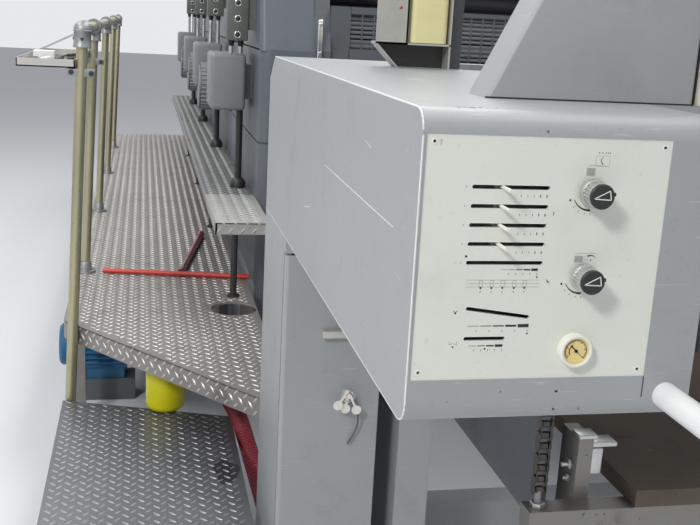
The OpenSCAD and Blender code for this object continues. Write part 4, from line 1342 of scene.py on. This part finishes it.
arm = lathe([(0, 0.004), (ARM_R * 1.25, 0.004), (ARM_R * 1.3, 0.012), (ARM_R, 0.018),
             (ARM_R, arm_len - 0.05),
             (ARM_R * 1.22, arm_len - 0.048), (ARM_R * 1.22, arm_len), (ARM_R * 0.8, arm_len),
             (ARM_R * 0.8, arm_len - 0.03),
             (0, arm_len - 0.03)], joint, arm_axis, 24)
# The arm takes the darker copy of the bar's red paint: painted shade.
add("red_arm", arm, "red_painted_shade", slot="hose")
print("tools", len(tools))

# %% [markdown]
# Each printing unit has a box of push-buttons: a black dome inside a chromed ring, with a bare label
# plate under each. The places repeat at the unit's pitch, so one loop sets them all.
# %% Push-buttons
BUTTON_FACE = -2.190
BUTTON_X = -1.016
rings_, domes, plates, glands = [], [], [], []
for k in range(4):
    bottom = 1.378 + (0.082 if k else 0.0)
    y = BUTTON_FACE + k * PITCH
    for z in np.arange(bottom + 0.022, 1.620, 0.057):
        at = (BUTTON_X, y, z)
        rings_.append(lathe([(0.0098, -0.0006), (0.0098, 0.0009), (0.0108, 0.0016),
                             (0.0124, 0.0009), (0.0128, -0.0004),
                             (0.0128, -0.0085), (0.0140, -0.0088), (0.0140, -0.0094),
                             (0.0098, -0.0094)], at, (0, -1, 0), 32))
        domes.append(lathe([(0, 0.0016), (0.0045, 0.0014), (0.0080, 0.0004), (0.0094, -0.0012),
                            (0.0096, -0.002),
                            (0, -0.002)], at, (0, -1, 0), 28))
        plates.append(soft_box((BUTTON_X - 0.018, y + 0.0080, z + 0.0235),
                               (BUTTON_X + 0.018, y + 0.0092, z + 0.0335), 0.0004, 1))
    for x in (-1.035, -1.000):
        glands.append(lathe([(0.0092, 0), (0.0118, 0), (0.0118, 0.010), (0.0100, 0.0125),
                             (0.0100, 0.020), (0.0092, 0.021)],
                            (x, y + 0.047, bottom), (0, 0, -1), 12))
rows = [("button_rings", join(*rings_), "chrome"), ("button_domes", join(*domes), "knob"),
        ("button_plates", join(*plates), "label_plate"), ("conduit_glands", join(*glands), "knob")]
for name, shape, mat in rows:
    add(name, shape, mat, slot="button_box")
print("buttons", len(domes))

# %% [markdown]
# Behind each window of a unit's front guard runs a grille of folded slats between upright bars. The
# slats lean, so from the delivery they show a light upper edge over a dark gap.
# %% Guard grilles


def slat(width, depth, thick, lean):
    """Folded strip: a leaning blade with a small lip, carried along X."""
    c, s = math.cos(math.radians(lean)), math.sin(math.radians(lean))
    blade = [(0, 0), (depth * c, depth * s), (depth * c, depth * s + thick), (0, thick),
             (-0.002, thick), (-0.002, -0.003),
             (0, -0.003)]
    verts = np.array([(x, u, v) for x in (-width / 2, width / 2) for u, v in blade])
    n = len(blade)
    faces = [list(range(n)), list(range(n, 2 * n))] + [[k, (k + 1) % n, (k + 1) % n + n, k + n]
                                                       for k in range(n)]
    return verts, faces


GRILLE = 0.0435
WINDOWS = [(-0.628, -0.3235, 1.372, 1.495), (-0.2175, 0.2175, 1.340, 1.505),
           (0.3235, 0.628, 1.372, 1.495)]
slats, bars_ = [], []
for k in range(4):
    y = -2.385 + PITCH * k + 0.026
    for x0, x1, z0, z1 in WINDOWS:
        zs = np.arange(z0 + 0.010, z1 - 0.004, 0.016)
        v, f = slat(x1 - x0 - 0.001, 0.010, 0.0012, 35)
        places = np.stack([np.full(len(zs), (x0 + x1) / 2), np.full(len(zs), y), zs], 1)
        slats.append(repeat(v, f, places, np.repeat(np.eye(3)[None], len(zs), 0)))
        for x in np.arange(x0 + GRILLE, x1 - 0.01, GRILLE):
            bars_.append(soft_box((x - 0.003, y - 0.0045, z0), (x + 0.003, y - 0.0005, z1), 0.0008,
                                  1))
add("grille_slats", join(*slats), "casting")
add("grille_bars", join(*bars_), "casting")
print("slats", len(slats), "bars", len(bars_))

# %% [markdown]
# The suction hose is a ribbed plastic spiral. Its rib is a wave in the radius of a tube carried
# along a curve from the platform's underside to the back of the leg. Both ends go into the machine.
# %% Suction hose
HOSE_R = 0.027
HOSE_TOP, HOSE_END = np.array([-1.140, -2.910, 0.4838]), np.array([-1.000, -3.5035, 0.075])
route = [HOSE_TOP, (-1.140, -2.910, 0.440), (-1.139, -2.925, 0.385), (-1.122, -2.980, 0.345),
         (-1.095, -3.060, 0.315),
         (-1.065, -3.130, 0.270), (-1.035, -3.225, 0.180), (-1.010, -3.320, 0.100),
         (-1.000, -3.420, 0.075), HOSE_END]
RIB = 0.0085
coarse = smooth_path(route, 200)
hose_len = float(np.linalg.norm(np.diff(coarse, axis=0), axis=1).sum())
count = int(hose_len / RIB) * 6
fine = smooth_path(route, count)
s = np.linspace(0, hose_len, count)
wave = 0.5 + 0.5 * np.cos(2 * np.pi * s / RIB)
hose = add("suction_hose_ribbed", tube(fine, HOSE_R - 0.0034 + 0.0032 * np.sqrt(wave), 20), "hose",
           crease=80)
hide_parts("suction_hose")
print("hose", round(hose_len, 3), "m long,", count // 6, "ribs")

# %% [markdown]
# Small hardware on the leg cabinet: the lock with a key and a tag on its ring, the latch bar on the
# first unit's casting, and hexagon bolts along the frames. Each is turned or bevelled, never a plain
# cylinder, because an edge that catches light is what makes small metal look real.
# %% Lock, keys and bolts
DOOR_Y = -3.875
LOCK = np.array([-0.899, DOOR_Y, 0.641])
barrel = lathe([(0, 0.002), (0.0045, 0.002), (0.0045, 0.0035), (0.0105, 0.0035), (0.0118, 0.0026),
                (0.0122, 0.001),
                (0.0122, -0.0002), (0, -0.0002)], LOCK - (0, 0.016, 0), (0, -1, 0), 32)
collar = lathe([(0, 0), (0.0155, 0), (0.0158, 0.0010), (0.0150, 0.0024), (0.0122, 0.0030),
                (0, 0.0030)], LOCK, (0, -1, 0), 32)
add("lock_barrel", join(collar, barrel), "chrome", "door", "steel")


def key_outline():
    """Key in mm: a round bow, a shank and three bits."""
    t = np.radians(np.linspace(-77, 257, 20))
    bow = np.c_[11 * np.cos(t), 11 * np.sin(t) + 20]
    return np.concatenate([bow, [(-2.4, 9), (-2.4, -22), (4.6, -22), (4.6, -19), (2.4, -19),
                                 (2.4, -17), (5.2, -17),
                                 (5.2, -14), (2.4, -14), (2.4, 9)]])


def hang(outline, at, angle, thick=0.0022):
    """Outline in the door's plane, turned by an angle in degrees."""
    c, s = math.cos(math.radians(angle)), math.sin(math.radians(angle))

    def place(rows):
        x, z = rows[:, 0] * MM, rows[:, 1] * MM
        return np.c_[at[0] + c * x - s * z, at[1] - rows[:, 2] * thick, at[2] + s * x + c * z]

    return prisms([outline], place)


keys = join(hang(key_outline(), LOCK + (-0.004, -0.0215, -0.004), 172),
            hang(key_outline(), LOCK + (0.010, -0.0245, -0.008), 205),
            hang(key_outline(), LOCK + (-0.015, -0.0275, 0.004), 150))
add("lock_keys", keys, "key_brass", "door", "steel")
ring_t = np.linspace(0, 2 * np.pi, 33)
ring_path = np.c_[LOCK[0] + 0.014 * np.sin(ring_t), np.full(33, LOCK[1] - 0.0235),
                  LOCK[2] + 0.008 - 0.014 * np.cos(ring_t)]
add("lock_ring", tube(ring_path, 0.0011, 8), "chrome", "door", "steel")
tag_path = smooth_path([(LOCK[0] + 0.004, LOCK[1] - 0.022, LOCK[2] - 0.006),
                        (LOCK[0] + 0.022, LOCK[1] - 0.020, LOCK[2] - 0.035),
                        (LOCK[0] + 0.024, LOCK[1] - 0.012, LOCK[2] - 0.075),
                        (LOCK[0] + 0.006, LOCK[1] - 0.006, LOCK[2] - 0.118)], 40)
strap = add("lock_strap", tube(tag_path, 0.0022, 10), "casting", "door", "steel")
add("door_handle", soft_box((-0.9640, -3.8905, 0.7815), (-0.8810, -3.8746, 0.7985), 0.002), "zinc",
    "door", "steel")
latch = join(soft_box((-0.752, -2.404, 1.335), (-0.734, -2.386, 1.470), 0.004),
             rod((-0.743, -2.386, 1.352), (-0.743, -2.412, 1.352), 0.007),
             rod((-0.743, -2.386, 1.452), (-0.743, -2.412, 1.452), 0.007))
add("unit_latch", latch, "chrome", slot="casting")
bolt = lathe([(0, 0), (0.0095, 0), (0.0098, 0.0008), (0.0098, 0.0056), (0.0088, 0.0066),
              (0, 0.0068)], (0, 0, 0), (0, -1, 0), 6)
washer = lathe([(0, 0), (0.0125, 0), (0.0125, 0.0014), (0, 0.0014)], (0, 0, 0), (0, -1, 0), 24)
places = []
for k in range(4):
    y = -2.385 + PITCH * k
    for side in (-1, 1):
        places += [(side * 0.730, y, z) for z in (0.20, 0.50, 0.80, 1.10)]
v, f = join(bolt, washer)
add("frame_bolts", repeat(v, f, places, np.repeat(np.eye(3)[None], len(places), 0)), "dark_steel",
    slot="casting")
print("bolts", len(places), "keys 3")

# %% [markdown]
# Wear goes on last: a long scratch and paint chips on the console, as thin shapes no thicker than
# the paint.
# %% Scratches, chips and marks


def on_side(rows):
    """(y mm, z mm, height) to a point on the console's outer side."""
    return np.c_[-1.052 + 0.0001 - rows[:, 2] * 0.0002, rows[:, 0] * MM, rows[:, 1] * MM]


def on_front(rows):
    """(x mm, z mm, height) to a point on the console's front."""
    return np.c_[rows[:, 0] * MM, -4.890 + 0.0001 - rows[:, 2] * 0.0002, rows[:, 1] * MM]


def chip(x, z, r, seed):
    """Ragged little outline of a paint chip."""
    rng = np.random.default_rng(seed)
    t = np.linspace(0, 2 * np.pi, 9, endpoint=False)
    rr = r * rng.uniform(0.45, 1.0, 9)
    return np.c_[x + rr * np.cos(t), z + rr * np.sin(t)]


runs = [([(-4298, 1229.7), (-4400, 1228.4), (-4530, 1227.2), (-4660, 1226.1), (-4784, 1225.1)],
         0.6), ([(-4100, 1120), (-4130, 1126), (-4160, 1131)], 0.45)]
strokes = [tube(on_side(np.array([(y, z, 0.0) for y, z in run])),
                r * MM * np.array([0.4] + [1.0] * (len(run) - 2) + [0.4]), 8) for run, r in runs]
add("console_scratches", join(*strokes), "bare_metal_and_highlight", slot="console", crease=80)
spots = [chip(x, z, r, i) for i, (x, z, r) in enumerate([(-861, 1045, 2.2), (-862.5, 1021.5, 1.8),
                                                         (-829.5, 1020.6, 1.5),
                                                         (-933, 1046, 1.2), (-905, 1360, 1.4),
                                                         (-1000, 1035, 1.0)])]
add("console_chips", prisms(spots, on_front), "bare_metal_and_highlight", slot="console")
print("chips", len(spots))

# %% [markdown]
# Wear goes on last: a long scratch, paint chips and rust spots along the console's upper edge, as
# thin shapes no thicker than the paint.
# %% Scratches, chips and marks


def on_side(rows):
    """(y mm, z mm, height) to a point on the console's outer side."""
    return np.c_[-1.052 + 0.0001 - rows[:, 2] * 0.0002, rows[:, 0] * MM, rows[:, 1] * MM]


def on_front(rows):
    """(x mm, z mm, height) to a point on the console's front."""
    return np.c_[rows[:, 0] * MM, -4.890 + 0.0001 - rows[:, 2] * 0.0002, rows[:, 1] * MM]


def chip(x, z, r, seed):
    """Ragged little outline of a paint chip."""
    rng = np.random.default_rng(seed)
    t = np.linspace(0, 2 * np.pi, 9, endpoint=False)
    rr = r * rng.uniform(0.45, 1.0, 9)
    return np.c_[x + rr * np.cos(t), z + rr * np.sin(t)]


scratch = line([(-4298, 1229.7), (-4400, 1228.4), (-4514, 1227.4)],
               1.0) + line([(-4530, 1227.2), (-4650, 1226.0), (-4784, 1225.1)], 1.3)
scratch += line([(-4100, 1120), (-4160, 1131)], 0.7) + line([(-4600, 1310), (-4640, 1304)], 0.8)
add("console_scratches", prisms(scratch, on_side), "bare_metal_and_highlight", slot="console")
spots = [chip(x, z, r, i) for i, (x, z, r) in enumerate([(-861, 1045, 2.2), (-862.5, 1021.5, 1.8),
                                                         (-829.5, 1020.6, 1.5),
                                                         (-933, 1046, 1.2), (-905, 1360, 1.4),
                                                         (-1000, 1035, 1.0)])]
add("console_chips", prisms(spots, on_front), "bare_metal_and_highlight", slot="console")
print("chips", len(spots))

def edge_highlight_path():
    """Path of a painted highlight round the console's outer side plate, a little inside the plate's edge.
    """
    x, r, y0, y1, z0, z1 = -1.0511, 0.0295, -4.8893, -3.5047, 1.0037, 1.3803
    points = [(y1, 1.323), (-3.588, z1), (-4.0, z1), (-4.5, z1)]
    for a in np.radians(np.arange(90, 181, 15)):
        points.append((y0 + r + r * math.cos(a), z1 - r + r * math.sin(a)))
    points.append((y0, 1.19))
    for a in np.radians(np.arange(180, 271, 15)):
        points.append((y0 + r + r * math.cos(a), z0 + r + r * math.sin(a)))
    points += [(-4.5, z0), (-4.0, z0), (y1, z0)]
    return np.array([(x, y, z) for y, z in points])


# A thin pale tube round the side plate: a painted highlight along its rounded edge.
painted_edge_highlight = tube(edge_highlight_path(), 0.0012, 8)
add("console_painted_edge_highlights", both(painted_edge_highlight), "bare_metal_and_highlight", slot="console", crease=70)
seams = [bar(-747.6, -746.2, 1034, 1061.5), bar(-747.6, -746.2, 1354.5, 1350.8)]
add("console_seams", both(prisms(seams[:1], on_front)), "print_black", slot="console")


def on_top(rows):
    """(x mm, y mm, height) to a point on the console's top."""
    return np.c_[rows[:, 0] * MM, rows[:, 1] * MM, 1.381 - 0.0001 + rows[:, 2] * 0.0002]


RUST_SPOTS = [(-1003, -4856, 5.0), (-994, -4853, 4.0), (-985, -4856, 6.0), (-975, -4852, 3.6),
              (-955, -4854, 3.0), (-968, -4856, 2.6), (-940, -4850, 1.4), (-1012, -4840, 1.6)]
spots = [chip(x, y, r, 20 + i) for i, (x, y, r) in enumerate(RUST_SPOTS)]
spots.append(chip(-837, 1502, 4.5, 40))
add("powder_mark", prisms([spots.pop()], lambda q: on_front(q) + (0, 0.980, 0)), "print_red",
    slot="steel")
add("console_rust", prisms(spots, on_top), "rust", slot="console")
t = np.linspace(0, 2 * np.pi, 28, endpoint=False)
wave = 1 + 0.12 * np.sin(3 * t + 1) + 0.08 * np.sin(5 * t)
stain = np.c_[-1.129 + 0.034 * wave * np.cos(t), -3.434 + 0.074 * wave * np.sin(t)]
add("oil_stain", prism(stain, 2, L_TOP - 0.0002, L_TOP + 0.0002), "oil", slot="dark_tread")
nut = [(0.0085, 0), (0.0092, 0.0008), (0.0092, 0.0062), (0.0085, 0.007), (0, 0.007)]
hardware = []
for z, r in ((0.770, 1.0), (0.745, 0.7)):
    at = (-0.6522, -4.530, z)
    hardware.append(lathe([(0, 0)] + [(a * r, b) for a, b in nut], at, (-1, 0, 0), 6))
    hardware.append(rod(at, np.add(at, (-0.018 * r, 0, 0)), 0.0042 * r, 14, 0.0008))
hardware.append(lathe([(0, 0)] + [(a * 1.35, b * 1.3) for a, b in nut], (-0.724, -4.570, 0.7161),
                      (0, 0, 1), 6))
hardware.append(soft_box((-0.6525, -4.552, 0.8232), (-0.6200, -4.520, 0.8290), 0.001))
hardware.append(soft_box((-0.6260, -4.548, 0.8060), (-0.5820, -4.515, 0.8140), 0.0015))
hardware.append(soft_box((-0.6262, -4.5505, 0.7600), (-0.6080, -4.5440, 0.8050), 0.001))
add("carriage_fixings", both(join(*hardware)), "knob_metal", slot="steel")
add("carriage_tag", both(soft_box((-0.6255, -4.5300, 0.6600), (-0.6238, -4.4960, 0.6840), 0.0006)),
    "teal", slot="steel")
print("wear and small fixings", len(spots), len(hardware))
